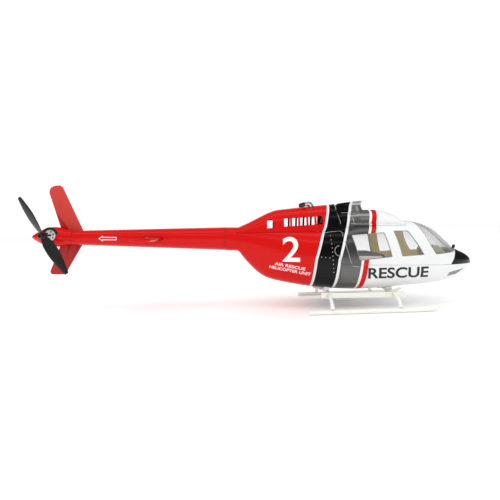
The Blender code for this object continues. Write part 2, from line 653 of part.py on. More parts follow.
FINISHES = (
    (RED, ("rear_body_shell", "engine_cowl", "tail_boom", "tail_pod", "fin", "stabiliser")),
    (WHITE, ("cabin_shell", "belly_pan", "roof_fairing")),
    (GREY, ("mast_collar",)),
    (CREAM, ("skid_right", "skid_left", "cross_tube_rear", "cross_tube_front", "step_bar_right",
             "step_bar_left", "belly_saddle_rear_right", "belly_saddle_rear_left",
             "belly_saddle_front_right", "belly_saddle_front_left")),
    (TAN, ("door_liner_right", "door_liner_left")),
    (CLEAR, ("front_door_window_right", "front_door_window_left", "rear_door_window_right",
             "rear_door_window_left", "windshield_right", "windshield_left", "chin_window_right",
             "chin_window_left")),
    (CHROME, ("exhaust_right", "exhaust_left")),
    (SILVER, ("motor_bell", "motor_base", "motor_shaft", "prop_nut", "fin_screw_upper",
              "fin_screw_lower", "cabin_magnet_right", "cabin_magnet_left", "pan_magnet_right",
              "pan_magnet_left")),
    (DARK, ("motor_ring", "tail_prop", "bench_seat", "instrument_panel", "boom_joint_sleeve")),
    (BLACK, ("nose_post",)),
    (WOOD, ("mechanics_tray", "tray_former_rear", "tray_former_front")),
)
CABIN_PIECES = ("cabin_shell", "roof_fairing", "mast_collar", "nose_post", "instrument_panel",
                "windshield_right", "windshield_left", "front_door_window_right",
                "front_door_window_left", "rear_door_window_right", "rear_door_window_left",
                "door_liner_right", "door_liner_left", "cabin_magnet_right", "cabin_magnet_left")
ROTOR_PIECES = ("motor_bell", "motor_shaft", "prop_nut", "tail_prop")


def pivot(name, parent, place=(0, 0, 0)):
    made = bpy.data.objects.new(name, None)
    bpy.context.collection.objects.link(made)
    made.parent = parent
    made.location = Vector(place) * MM
    return made


def boom_height():
    """Height of the drawing frame's origin when the skids' lowest facets stand on Z = 0."""
    x, z = SKID_PATH[0]
    return x * math.sin(STANCE) - z * math.cos(STANCE) + SKID_RADIUS * math.cos(math.pi / SKID_SIDES)


def main():
    clear_scene()
    cabin, pan = make_cabin()
    pieces = [make_rear_body(), make_cowl(), cabin, pan, make_fairing(), make_collar(), make_nose_post()]
    fixed, turning = make_motor()
    pieces += make_glazing() + make_liners() + make_interior() + make_magnets()
    pieces += make_boom() + make_tail() + fixed + turning + [make_propeller()]
    pieces += make_gear() + make_exhausts()

    attitude = pivot("attitude", None)
    attitude.rotation_euler = (0, STANCE, 0)
    attitude.location = (AXIS_TO_CENTRE * MM, 0, boom_height() * MM)
    cabin_lift = pivot("cabin_lift", attitude)
    rotor_place = (TAIL_AXIS_X, 0, TAIL_AXIS_Z)
    rotor_spin = pivot("rotor_spin", attitude, rotor_place)

    for (name, *look), members in FINISHES:
        paint = material(name, *look)
        for piece in (p for p in pieces if p.name in members):
            piece.data.materials.clear()
            piece.data.materials.append(paint)
            piece.data.shade_smooth()
            piece.data.set_sharp_from_angle(angle=math.radians(35))
    for piece in pieces:
        if piece.name in ROTOR_PIECES:
            piece.parent = rotor_spin
            piece.data.transform(Matrix.Translation(-Vector(rotor_place) * MM))
        else:
            piece.parent = cabin_lift if piece.name in CABIN_PIECES else attitude


main()
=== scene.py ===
import json
import math

import bpy
from mathutils import Matrix, Vector
from mathutils.bvhtree import BVHTree


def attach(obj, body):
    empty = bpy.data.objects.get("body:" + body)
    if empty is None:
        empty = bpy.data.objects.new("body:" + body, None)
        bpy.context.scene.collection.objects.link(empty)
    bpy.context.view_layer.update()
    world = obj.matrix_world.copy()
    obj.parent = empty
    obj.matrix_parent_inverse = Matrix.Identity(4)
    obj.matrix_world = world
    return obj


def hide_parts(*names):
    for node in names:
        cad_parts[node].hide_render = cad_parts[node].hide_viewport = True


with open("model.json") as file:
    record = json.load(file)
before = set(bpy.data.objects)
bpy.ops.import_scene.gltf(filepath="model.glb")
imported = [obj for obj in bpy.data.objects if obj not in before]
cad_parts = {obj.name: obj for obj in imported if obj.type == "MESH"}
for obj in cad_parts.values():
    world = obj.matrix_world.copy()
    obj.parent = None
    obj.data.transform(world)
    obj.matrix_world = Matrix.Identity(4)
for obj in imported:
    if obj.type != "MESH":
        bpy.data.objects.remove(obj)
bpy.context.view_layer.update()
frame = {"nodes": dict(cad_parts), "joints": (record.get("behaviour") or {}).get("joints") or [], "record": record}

mm = 0.001

# The drawing frame has X = 0 on the mast, Z = 0 on the boom's centreline, in millimetres.
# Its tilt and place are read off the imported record.
mounts = {mount["name"]: mount for mount in frame["record"]["mounts"]}
joints = {joint["name"]: joint for joint in frame["joints"]}
upAxis = Vector(mounts["mechanics_tray_top"]["axis"])
stance = math.atan2(upAxis.x, upAxis.z)
rotorAxis = Vector((-321.4, -20.4, 3.8))
tilt = Matrix.Rotation(stance, 4, "Y")
hubPlace = Vector(joints["tail_rotor_spin"]["pos_m"])
drawing = Matrix.Translation(hubPlace - tilt @ (rotorAxis * mm)) @ tilt @ Matrix.Scale(mm, 4)

shell = {
    "top": ((-136, 12.3), (-120, 12.2), (-100, 12.0), (-60, 12.6), (-17, 13.2), (-5, 16.0), (6, 18.6),
            (25, 19.3), (50, 19.8), (64, 19.3), (72, 17.5), (78.5, 15.0), (84.5, 11.5), (90.8, 6.2),
            (97, 0.5), (104.8, -7.0), (111.7, -10.7), (120.4, -14.5), (126.5, -18.5), (129.8, -22.8)),
    "bottom": ((-136, -12.6), (-122, -13.0), (-115, -21.0), (-106.3, -30.3), (-97.6, -37.8),
               (-88.8, -42.3), (-67, -47.2), (-30, -52.0), (0, -53.0), (30, -51.5), (55, -49.0),
               (81, -46.5), (98.6, -43.4), (107.4, -41.0), (116.1, -37.9), (124.8, -32.3),
               (129.8, -25.6)),
    "halfWidth": ((-136, 12.4), (-122, 12.7), (-110, 14.5), (-90, 19.5), (-60, 26.0), (-30, 30.5),
                  (0, 33.0), (30, 33.6), (60, 33.2), (82, 30.8), (100, 25.5), (115, 17.5),
                  (125, 9.5), (129.8, 3.0)),
    "widest": ((-136, 0.0), (-114, -4.0), (-90, -9.0), (-77, -14.0), (-37, -23.0), (0, -25.0),
               (60, -24.0), (100, -24.5), (129.8, -24.3)),
    "squareness": 2.6,
    "wall": 1.2,
    "splitX": -17.0,
    "sillZ": -25.0,
    "around": 88,
    "step": 2.6,
    "reach": 70.0,
    "gap": 0.3,
}
cowl = {
    "rearX": -122.0,
    "seam": ((-122.0, 6.0), (-17.0, 8.5)),
    "top": ((-122, 11.9), (-110.6, 17.1), (-97.6, 23.7), (-88.8, 28.0), (-80, 31.0), (-67, 32.6),
            (-49.6, 34.6), (-32, 36.2), (-17, 37.6)),
    "slots": 5, "firstSlot": (-72.4, 12.8), "slotPitch": (8.4, 0.55), "slotSize": (6.3, 9.0),
    "aftSlot": ((-90.0, 11.2), (-83.4, 11.5), (-83.4, 20.1), (-90.0, 19.7)),
}
fairing = {
    "frontX": 53.3,
    "seam": ((-17.0, 8.5), (-5.0, 12.3), (6.0, 15.3), (53.3, 15.3)),
    "top": ((-17, 31.3), (10, 31.3), (23.5, 31.5), (29.5, 31.0), (37.4, 29.0), (45.7, 25.6),
            (51.0, 21.6), (53.3, 19.7)),
}
windows = {
    "frontDoor": ((37.5, 9.1), (52.5, 9.3), (66.4, -14.9), (43.8, -16.5)),
    "rearDoor": ((-5.1, 4.8), (28.2, 7.6), (34.3, -17.0), (1.7, -20.8)),
    "windshield": ((62.2, 30.0), (62.2, 18.6), (65.8, 11.1), (73.3, -5.7), (78.7, -14.7), (98.0, -12.9),
                   (109.0, -9.9), (127.0, -6.0), (127.0, 30.0)),
    "chin": ((92.7, -37.2), (94.2, -33.0), (104.0, -31.2), (114.0, -29.8), (110.0, -32.0), (104.2, -35.0)),
    "liner": ((-9.5, 7.5), (30.0, 11.5), (60.5, 12.5), (71.5, -6.5), (77.2, -15.8), (95.0, -14.4),
              (95.0, -22.5), (-6.0, -22.5)),
    "postHalfWidth": 1.6,
    "cornerRadius": 1.6,
}


def smooth(points, x):
    points = sorted(points)
    if x <= points[0][0]:
        return points[0][1]
    if x >= points[-1][0]:
        return points[-1][1]
    i = max(k for k, p in enumerate(points[:-1]) if p[0] <= x)
    slopes = [(b[1] - a[1]) / (b[0] - a[0]) for a, b in zip(points, points[1:])]

    def tangent(k):
        if k in (0, len(points) - 1):
            return slopes[min(k, len(slopes) - 1)]
        before, after = slopes[k - 1], slopes[k]
        return 0.0 if before * after <= 0.0 else 2.0 * before * after / (before + after)

    step = points[i + 1][0] - points[i][0]
    t = (x - points[i][0]) / step
    return ((2 * t ** 3 - 3 * t ** 2 + 1) * points[i][1] + (t ** 3 - 2 * t ** 2 + t) * step * tangent(i)
            + (3 * t ** 2 - 2 * t ** 3) * points[i + 1][1] + (t ** 3 - t ** 2) * step * tangent(i + 1))


def straight(points, x):
    points = sorted(points)
    for (x0, v0), (x1, v1) in zip(points, points[1:]):
        if x <= x1:
            return v0 + (v1 - v0) * (x - x0) / (x1 - x0)
    return points[-1][1]


# building blocks

def activate(piece):
    bpy.ops.object.select_all(action="DESELECT")
    piece.select_set(True)
    bpy.context.view_layer.objects.active = piece


def addModifier(piece, kind, **settings):
    modifier = piece.modifiers.new(kind.lower(), kind)
    for key, value in settings.items():
        setattr(modifier, key, value)
    activate(piece)
    bpy.ops.object.modifier_apply(modifier=modifier.name)
    return piece


def carve(piece, *tools, operation="DIFFERENCE"):
    for tool in tools:
        addModifier(piece, "BOOLEAN", operation=operation, object=tool)
        bpy.data.objects.remove(tool, do_unlink=True)
    return piece


def soften(piece, degrees=30):
    activate(piece)
    bpy.ops.object.shade_smooth_by_angle(angle=math.radians(degrees))
    return piece


def bevelEdges(piece, width, degrees=30, segments=3):
    return addModifier(piece, "BEVEL", width=width * mm, segments=segments, limit_method="ANGLE",
                       angle_limit=math.radians(degrees))


def place(name, points, faces):
    # points are drawing millimetres; the mesh keeps its world place
    mesh = bpy.data.meshes.new(name)
    mesh.from_pydata([drawing @ Vector(p) for p in points], [], faces)
    made = bpy.data.objects.new(name, mesh)
    bpy.context.scene.collection.objects.link(made)
    activate(made)
    bpy.ops.object.mode_set(mode="EDIT")
    bpy.ops.mesh.select_all(action="SELECT")
    bpy.ops.mesh.normals_make_consistent(inside=False)
    bpy.ops.object.mode_set(mode="OBJECT")
    return made


def loft(name, rings, capped=True):
    size = len(rings[0])
    points = [p for ring in rings for p in ring]
    faces = []
    for k in range(len(rings) - 1):
        for i in range(size):
            j = (i + 1) % size
            faces.append((k * size + i, k * size + j, (k + 1) * size + j, (k + 1) * size + i))
    if capped:
        faces += [tuple(range(size)), tuple(range((len(rings) - 1) * size, len(rings) * size))]
    return place(name, points, faces)


def prism(name, outline, low, high):
    return loft(name, [[(x, y, z) for x, z in outline] for y in (low, high)])


def block(name, low, high):
    outline = ((low[0], low[2]), (high[0], low[2]), (high[0], high[2]), (low[0], high[2]))
    return prism(name, outline, low[1], high[1])


def rod(name, start, end, radius, sides=48):
    start, end = Vector(start), Vector(end)
    middle = drawing @ ((start + end) / 2)
    turn = (tilt @ (end - start).to_4d()).to_3d().to_track_quat("Z", "Y").to_euler()
    bpy.ops.object.select_all(action="DESELECT")
    bpy.ops.mesh.primitive_cylinder_add(vertices=sides, radius=radius * mm, depth=(end - start).length * mm,
                                        location=middle, rotation=turn)
    made = bpy.context.object
    made.name = name
    bpy.ops.object.transform_apply(location=True, rotation=True, scale=True)
    return made


def tube(name, path, radius, sides=20, filled=True):
    # a bevelled curve turned into a mesh; radius may be one number or one for each point
    curve = bpy.data.curves.new(name, "CURVE")
    curve.dimensions = "3D"
    curve.bevel_depth = mm
    curve.bevel_resolution = max(sides // 4 - 1, 0)
    curve.use_fill_caps = filled
    spline = curve.splines.new("POLY")
    spline.points.add(len(path) - 1)
    sizes = radius if isinstance(radius, (list, tuple)) else [radius] * len(path)
    for point, here, size in zip(spline.points, path, sizes):
        point.co = (*(drawing @ Vector(here)), 1.0)
        point.radius = size
    made = bpy.data.objects.new(name, curve)
    bpy.context.scene.collection.objects.link(made)
    activate(made)
    bpy.ops.object.convert(target="MESH")
    made = bpy.context.object
    bpy.ops.object.mode_set(mode="EDIT")
    bpy.ops.mesh.select_all(action="SELECT")
    bpy.ops.mesh.remove_doubles(threshold=0.000005)
    bpy.ops.mesh.normals_make_consistent(inside=False)
    bpy.ops.object.mode_set(mode="OBJECT")
    return made


def joined(name, parts):
    bpy.ops.object.select_all(action="DESELECT")
    for part in parts:
        part.select_set(True)
    bpy.context.view_layer.objects.active = parts[0]
    if len(parts) > 1:
        bpy.ops.object.join()
    parts[0].name = name
    return parts[0]


def portCopy(piece, name):
    # mirror across the model's centre plane
    made = piece.copy()
    made.data = piece.data.copy()
    made.name = name
    bpy.context.scene.collection.objects.link(made)
    made.data.transform(Matrix.Scale(-1, 4, (0, 1, 0)))
    made.data.flip_normals()
    return made


def finishPiece(piece, body, slotName, paint, *nodes):
    piece.data.materials.clear()
    piece.data.materials.append(paint)
    for key in list(piece.keys()):
        if key.startswith("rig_"):
            del piece[key]
    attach(piece, body)
    if nodes:
        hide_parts(*nodes)
    return piece


def roundedOutline(outline, radius, steps=6):
    made = []
    count = len(outline)
    for k in range(count):
        corner = Vector(outline[k])
        before = (Vector(outline[k - 1]) - corner)
        after = (Vector(outline[(k + 1) % count]) - corner)
        reach = min(radius, before.length * 0.4, after.length * 0.4)
        start, end = corner + before.normalized() * reach, corner + after.normalized() * reach
        for i in range(steps + 1):
            t = i / steps
            made.append(tuple((1 - t) ** 2 * start + 2 * t * (1 - t) * corner + t ** 2 * end))
    return made


def insetOutline(outline, distance):
    outline = list(outline)
    area = sum(a[0] * b[1] - b[0] * a[1] for a, b in zip(outline, outline[1:] + outline[:1]))
    turn = 1.0 if area > 0 else -1.0
    made = []
    for k, here in enumerate(outline):
        before = Vector(here) - Vector(outline[k - 1])
        after = Vector(outline[(k + 1) % len(outline)]) - Vector(here)
        normalA = Vector((-before.y, before.x)).normalized() * turn
        normalB = Vector((-after.y, after.x)).normalized() * turn
        bisector = (normalA + normalB).normalized()
        made.append(tuple(Vector(here) + bisector * distance / max(bisector.dot(normalA), 0.3)))
    return made


def mathNode(tree, operation, a, b=None, c=None):
    node = tree.nodes.new("ShaderNodeMath")
    node.operation = operation
    for socket, value in zip(node.inputs, (a, b, c)):
        if value is None:
            continue
        if isinstance(value, (int, float)):
            socket.default_value = value
        else:
            tree.links.new(value, socket)
    return node.outputs[0]


print("camera and light")

# the lens stands to starboard, level with the cabin roof, square to the boom
viewpoint = {"place": (-97.6, -376.0, 13.8), "lens": 24.84, "sensor": 36.0,
             "shiftX": -0.02, "shiftY": -0.048}


def makeCamera():
    camera = bpy.data.objects.new("camera", bpy.data.cameras.new("camera"))
    bpy.context.scene.collection.objects.link(camera)
    camera.data.lens = viewpoint["lens"]
    camera.data.sensor_width = viewpoint["sensor"]
    camera.data.shift_x = viewpoint["shiftX"]
    camera.data.shift_y = viewpoint["shiftY"]
    camera.data.clip_start = 0.005
    camera.matrix_world = (Matrix.Translation(drawing @ Vector(viewpoint["place"])) @ tilt
                           @ Matrix.Rotation(math.radians(90), 4, "X"))
    bpy.context.scene.camera = camera


studio = {
    "floorSize": 14.0,
    "floorColour": (0.985, 0.985, 0.985),
    "worldColour": (1.0, 1.0, 1.0),
    "roomFill": 1.10,
    "roomReflection": 0.12,
    "lights": (
        # name, place, size, watts, aims at
        ("overheadSoftbox", (0.0, -0.25, 1.2), (1.8, 0.35), 2.2, (0.0, 0.0, 0.08)),
        ("frontSoftbox", (-0.2, -1.3, 1.25), (1.6, 0.30), 1.6, (0.0, 0.0, 0.08)),
        ("noseSoftbox", (1.4, -0.5, 0.9), (0.5, 0.5), 0.8, (0.1, 0.0, 0.08)),
        ("backSoftbox", (-0.2, 1.3, 1.1), (1.6, 0.35), 1.5, (0.0, 0.0, 0.08)),
    ),
}


def makeStudio():
    bpy.ops.object.select_all(action="DESELECT")
    bpy.ops.mesh.primitive_plane_add(size=studio["floorSize"], location=(0, 0, -0.0002))
    floor = bpy.context.object
    floor.name = "studioFloor"
    paint = bpy.data.materials.new("studioPaper")
    paint.use_nodes = True
    shader = paint.node_tree.nodes["Principled BSDF"]
    shader.inputs["Base Color"].default_value = (*studio["floorColour"], 1)
    shader.inputs["Roughness"].default_value = 0.9
    floor.data.materials.append(paint)
    world = bpy.data.worlds.new("studioWorld")
    world.use_nodes = True
    background = world.node_tree.nodes["Background"]
    background.inputs["Color"].default_value = (*studio["worldColour"], 1)
    # the room is white to the eye, softer as fill and dim in reflections
    paths = world.node_tree.nodes.new("ShaderNodeLightPath")
    level = studio["roomFill"]
    for ray, strength in (("Is Camera Ray", 1.05), ("Is Transmission Ray", 1.0),
                          ("Is Glossy Ray", studio["roomReflection"])):
        change = mathNode(world.node_tree, "MULTIPLY_ADD", paths.outputs[ray],
                          strength - studio["roomFill"], level)
        level = change
    world.node_tree.links.new(level, background.inputs["Strength"])
    bpy.context.scene.world = world
    bpy.context.scene.view_settings.view_transform = "Standard"
    for name, spot, size, power, aim in studio["lights"]:
        lamp = bpy.data.lights.new(name, "AREA")
        lamp.shape = "RECTANGLE"
        lamp.size, lamp.size_y = size
        lamp.energy = power
        holder = bpy.data.objects.new(name, lamp)
        bpy.context.scene.collection.objects.link(holder)
        holder.location = spot
        holder.rotation_euler = (Vector(aim) - Vector(spot)).to_track_quat("-Z", "Y").to_euler()


makeCamera()
makeStudio()

print("finishes")


def newMaterial(name):
    made = bpy.data.materials.new(name)
    made.use_nodes = True
    return made, made.node_tree.nodes, made.node_tree.links, made.node_tree.nodes["Principled BSDF"]


def newGroup(name, inputs, outputs):
    group = bpy.data.node_groups.new(name, "ShaderNodeTree")
    for label, kind, value in inputs:
        socket = group.interface.new_socket(name=label, in_out="INPUT", socket_type=kind)
        socket.default_value = value
    for label, kind in outputs:
        group.interface.new_socket(name=label, in_out="OUTPUT", socket_type=kind)
    return group, group.nodes.new("NodeGroupInput"), group.nodes.new("NodeGroupOutput")


def drawingCoords(group):
    # object coordinates turned back level and shifted to the mast, in millimetres
    nodes, links = group.nodes, group.links
    coords = nodes.new("ShaderNodeTexCoord")
    mapping = nodes.new("ShaderNodeMapping")
    mapping.vector_type = "TEXTURE"
    mapping.inputs["Location"].default_value = drawing.translation
    mapping.inputs["Rotation"].default_value = (0, stance, 0)
    mapping.inputs["Scale"].default_value = (mm, mm, mm)
    links.new(coords.outputs["Object"], mapping.inputs["Vector"])
    split = nodes.new("ShaderNodeSeparateXYZ")
    links.new(mapping.outputs["Vector"], split.inputs[0])
    return mapping.outputs["Vector"], split.outputs


livery = {
    # stripe edges measured along X from the leaning base line
    "lean": ((-52.0, -22.3), (-20.0, -17.7), (3.0, -11.0), (12.5, -6.9), (38.0, -1.7)),
    "redTo": -24.1, "whiteTo": -21.6, "blackTo": -1.3, "secondWhiteTo": 1.3,
    "greyTo": 21.4, "thirdWhiteTo": 23.9, "redStripeTo": 28.8,
    "nosePatch": (115.4, 0.589, 0.033), "nosePatchFloor": -24.9,
    "red": (0.60, 0.0015, 0.0008), "white": (0.78, 0.785, 0.79), "black": (0.0022, 0.0022, 0.0026),
    # the grey's lighter second colour and its two heights paint a highlight: the grey turns lighter higher up,
    # where upper surfaces catch the overhead light
    "grey": (0.15, 0.15, 0.147), "greyPaintedHighlight": (0.46, 0.46, 0.45), "greyHighlightHeights": (11.0, 25.0),
}


def makeLiveryGroup():
    group, _, result = newGroup("liveryScheme", (),
                                    (("Colour", "NodeSocketColor"), ("Metal mask", "NodeSocketFloat")))
    _, (x, y, z) = drawingCoords(group)
    along = mathNode(group, "SUBTRACT", x, livery["lean"][0][1])
    for (low, before), (high, after) in zip(livery["lean"], livery["lean"][1:]):
        climb = mathNode(group, "MINIMUM", mathNode(group, "MAXIMUM", mathNode(group, "SUBTRACT", z, low),
                                                    0.0),
                         high - low)
        along = mathNode(group, "SUBTRACT", along, mathNode(group, "MULTIPLY", climb,
                                                            (after - before) / (high - low)))

    def past(edge):
        ramp = group.nodes.new("ShaderNodeMapRange")
        ramp.inputs["From Min"].default_value = edge - 0.12
        ramp.inputs["From Max"].default_value = edge + 0.12
        group.links.new(along, ramp.inputs["Value"])
        return ramp.outputs[0]

    def layer(under, over, mask):
        mix = group.nodes.new("ShaderNodeMix")
        mix.data_type = "RGBA"
        group.links.new(mask, mix.inputs["Factor"])
        for socket, colour in ((mix.inputs[6], under), (mix.inputs[7], over)):
            if isinstance(colour, tuple):
                socket.default_value = (*colour, 1)
            else:
                group.links.new(colour, socket)
        return mix.outputs[2]

    # painted highlight: the grey stripe is mixed towards a lighter grey with height
    paintedHighlightBlend = group.nodes.new("ShaderNodeMapRange")
    paintedHighlightBlend.inputs["From Min"].default_value, paintedHighlightBlend.inputs["From Max"].default_value = livery["greyHighlightHeights"]
    group.links.new(z, paintedHighlightBlend.inputs["Value"])
    greysWithPaintedHighlight = layer(livery["grey"], livery["greyPaintedHighlight"], paintedHighlightBlend.outputs[0])
    colour = livery["red"]
    for edge, over in (("redTo", "white"), ("whiteTo", "black"), ("blackTo", "white"),
                       ("secondWhiteTo", "grey"), ("greyTo", "white"), ("thirdWhiteTo", "red"),
                       ("redStripeTo", "white")):
        colour = layer(colour, greysWithPaintedHighlight if over == "grey" else livery[over], past(livery[edge]))
    tip, spread, droop = livery["nosePatch"]
    below = mathNode(group, "ADD", z, 14.0)
    reach = mathNode(group, "MULTIPLY_ADD", mathNode(group, "MULTIPLY", below, below), droop, x)
    reach = mathNode(group, "MULTIPLY_ADD", mathNode(group, "ABSOLUTE", y), spread, reach)
    nose = mathNode(group, "GREATER_THAN", reach, tip)
    nose = mathNode(group, "MULTIPLY", nose, mathNode(group, "GREATER_THAN", z, livery["nosePatchFloor"]))
    colour = layer(colour, livery["black"], nose)
    metal = mathNode(group, "SUBTRACT", past(livery["secondWhiteTo"]), past(livery["greyTo"]))
    group.links.new(colour, result.inputs["Colour"])
    group.links.new(metal, result.inputs["Metal mask"])
    return group


def makeSurfaceGroup():
    # handling marks: slow colour drift, a fine grain for roughness and a height for bump
    group, given, result = newGroup(
        "handledSurface",
        (("Scale", "NodeSocketFloat", 60.0), ("Drift", "NodeSocketFloat", 0.05),
         ("Roughness", "NodeSocketFloat", 0.2), ("Roughness spread", "NodeSocketFloat", 0.08)),
        (("Shade", "NodeSocketFloat"), ("Roughness", "NodeSocketFloat"), ("Height", "NodeSocketFloat")))
    coords = group.nodes.new("ShaderNodeTexCoord")
    noises = []
    for factor, detail in ((1.0, 3.0), (14.0, 5.0)):
        noise = group.nodes.new("ShaderNodeTexNoise")
        noise.inputs["Detail"].default_value = detail
        group.links.new(coords.outputs["Object"], noise.inputs["Vector"])
        group.links.new(mathNode(group, "MULTIPLY", given.outputs["Scale"], factor), noise.inputs["Scale"])
        noises.append(noise.outputs[0])
    slow, fine = noises
    shade = mathNode(group, "MULTIPLY_ADD", mathNode(group, "SUBTRACT", slow, 0.5),
                     given.outputs["Drift"], 1.0)
    rough = mathNode(group, "MULTIPLY_ADD", mathNode(group, "SUBTRACT", fine, 0.5),
                     given.outputs["Roughness spread"], given.outputs["Roughness"])
    group.links.new(shade, result.inputs["Shade"])
    group.links.new(rough, result.inputs["Roughness"])
    group.links.new(fine, result.inputs["Height"])
    return group


liveryGroup = makeLiveryGroup()
surfaceGroup = makeSurfaceGroup()


def finish(name, colour, rough, spread=0.06, drift=0.1, scale=60.0, bump=0.02, metal=0.0, coat=0.0, **more):
    made, nodes, links, shader = newMaterial(name)
    marks = nodes.new("ShaderNodeGroup")
    marks.node_tree = surfaceGroup
    for label, value in (("Scale", scale), ("Drift", drift), ("Roughness", rough),
                         ("Roughness spread", spread)):
        marks.inputs[label].default_value = value
    tint = nodes.new("ShaderNodeMix")
    tint.data_type = "RGBA"
    tint.blend_type = "MULTIPLY"
    tint.inputs["Factor"].default_value = 1.0
    links.new(marks.outputs["Shade"], tint.inputs[7])
    if colour is None:
        scheme = nodes.new("ShaderNodeGroup")
        scheme.node_tree = liveryGroup
        links.new(scheme.outputs["Colour"], tint.inputs[6])
        links.new(mathNode(made.node_tree, "MULTIPLY", scheme.outputs["Metal mask"], 0.9),
                  shader.inputs["Metallic"])
    else:
        tint.inputs[6].default_value = (*colour, 1)
        shader.inputs["Metallic"].default_value = metal
    links.new(tint.outputs[2], shader.inputs["Base Color"])
    links.new(marks.outputs["Roughness"], shader.inputs["Roughness"])
    relief = nodes.new("ShaderNodeBump")
    relief.inputs["Strength"].default_value = bump
    relief.inputs["Distance"].default_value = 0.0004
    links.new(marks.outputs["Height"], relief.inputs["Height"])
    links.new(relief.outputs["Normal"], shader.inputs["Normal"])
    shader.inputs["Coat Weight"].default_value = coat
    shader.inputs["Coat Roughness"].default_value = 0.03
    for label, value in more.items():
        shader.inputs[label.replace("_", " ")].default_value = value
    return made


def makeWood():
    made, nodes, links, shader = newMaterial("plyFace")
    coords = nodes.new("ShaderNodeTexCoord")
    stretch = nodes.new("ShaderNodeMapping")
    stretch.inputs["Scale"].default_value = (40, 420, 420)
    grain = nodes.new("ShaderNodeTexNoise")
    grain.inputs["Scale"].default_value = 1.0
    grain.inputs["Detail"].default_value = 6.0
    ramp = nodes.new("ShaderNodeValToRGB")
    ramp.color_ramp.elements[0].color = (0.36, 0.21, 0.09, 1)
    ramp.color_ramp.elements[1].color = (0.62, 0.43, 0.23, 1)
    links.new(coords.outputs["Object"], stretch.inputs["Vector"])
    links.new(stretch.outputs["Vector"], grain.inputs["Vector"])
    links.new(grain.outputs[0], ramp.inputs[0])
    links.new(ramp.outputs[0], shader.inputs["Base Color"])
    shader.inputs["Roughness"].default_value = 0.7
    return made


def makeClear(name, tint):
    # thin moulded sheet: see-through face on, milky and bright at its turned edges
    made, nodes, links, shader = newMaterial(name)
    marks = nodes.new("ShaderNodeGroup")
    marks.node_tree = surfaceGroup
    for label, value in (("Scale", 40.0), ("Roughness", 0.08), ("Roughness spread", 0.05), ("Drift", 0.1)):
        marks.inputs[label].default_value = value
    links.new(marks.outputs["Roughness"], shader.inputs["Roughness"])
    turned = nodes.new("ShaderNodeLayerWeight")
    turned.inputs["Blend"].default_value = 0.35
    veil = mathNode(made.node_tree, "MULTIPLY_ADD", turned.outputs["Facing"], 0.40, 0.07)
    links.new(mathNode(made.node_tree, "MULTIPLY", veil, marks.outputs["Shade"]), shader.inputs["Alpha"])
    shader.inputs["Base Color"].default_value = (*tint, 1)
    shader.inputs["Coat Weight"].default_value = 1.0
    return made


def makeFinPaint():
    # satin red with painted shade: darker at the rear root and below the boom, where the fin lies in shade
    made = finish("finPaint", livery["red"], 0.42, coat=0.2, bump=0.05, scale=90.0, Specular_IOR_Level=0.3)
    nodes, links = made.node_tree.nodes, made.node_tree.links
    shader = nodes["Principled BSDF"]
    _, (x, y, z) = drawingCoords(made.node_tree)
    # painted shade mask: the rear root and the part below the boom take the darker red
    swept = mathNode(made.node_tree, "MULTIPLY_ADD", z, 0.762, x)
    root = mathNode(made.node_tree, "LESS_THAN", swept, -302.4)
    root = mathNode(made.node_tree, "MULTIPLY", root, mathNode(made.node_tree, "LESS_THAN", z, 30.0))
    lower = mathNode(made.node_tree, "LESS_THAN", z, 2.0)
    dark = mathNode(made.node_tree, "MAXIMUM", root, lower)
    colours = nodes.new("ShaderNodeMix")
    colours.data_type = "RGBA"
    colours.inputs[6].default_value = (0.61, 0.045, 0.034, 1)
    colours.inputs[7].default_value = (0.42, 0.002, 0.003, 1)
    links.new(dark, colours.inputs["Factor"])
    links.new(colours.outputs[2], shader.inputs["Base Color"])
    return made


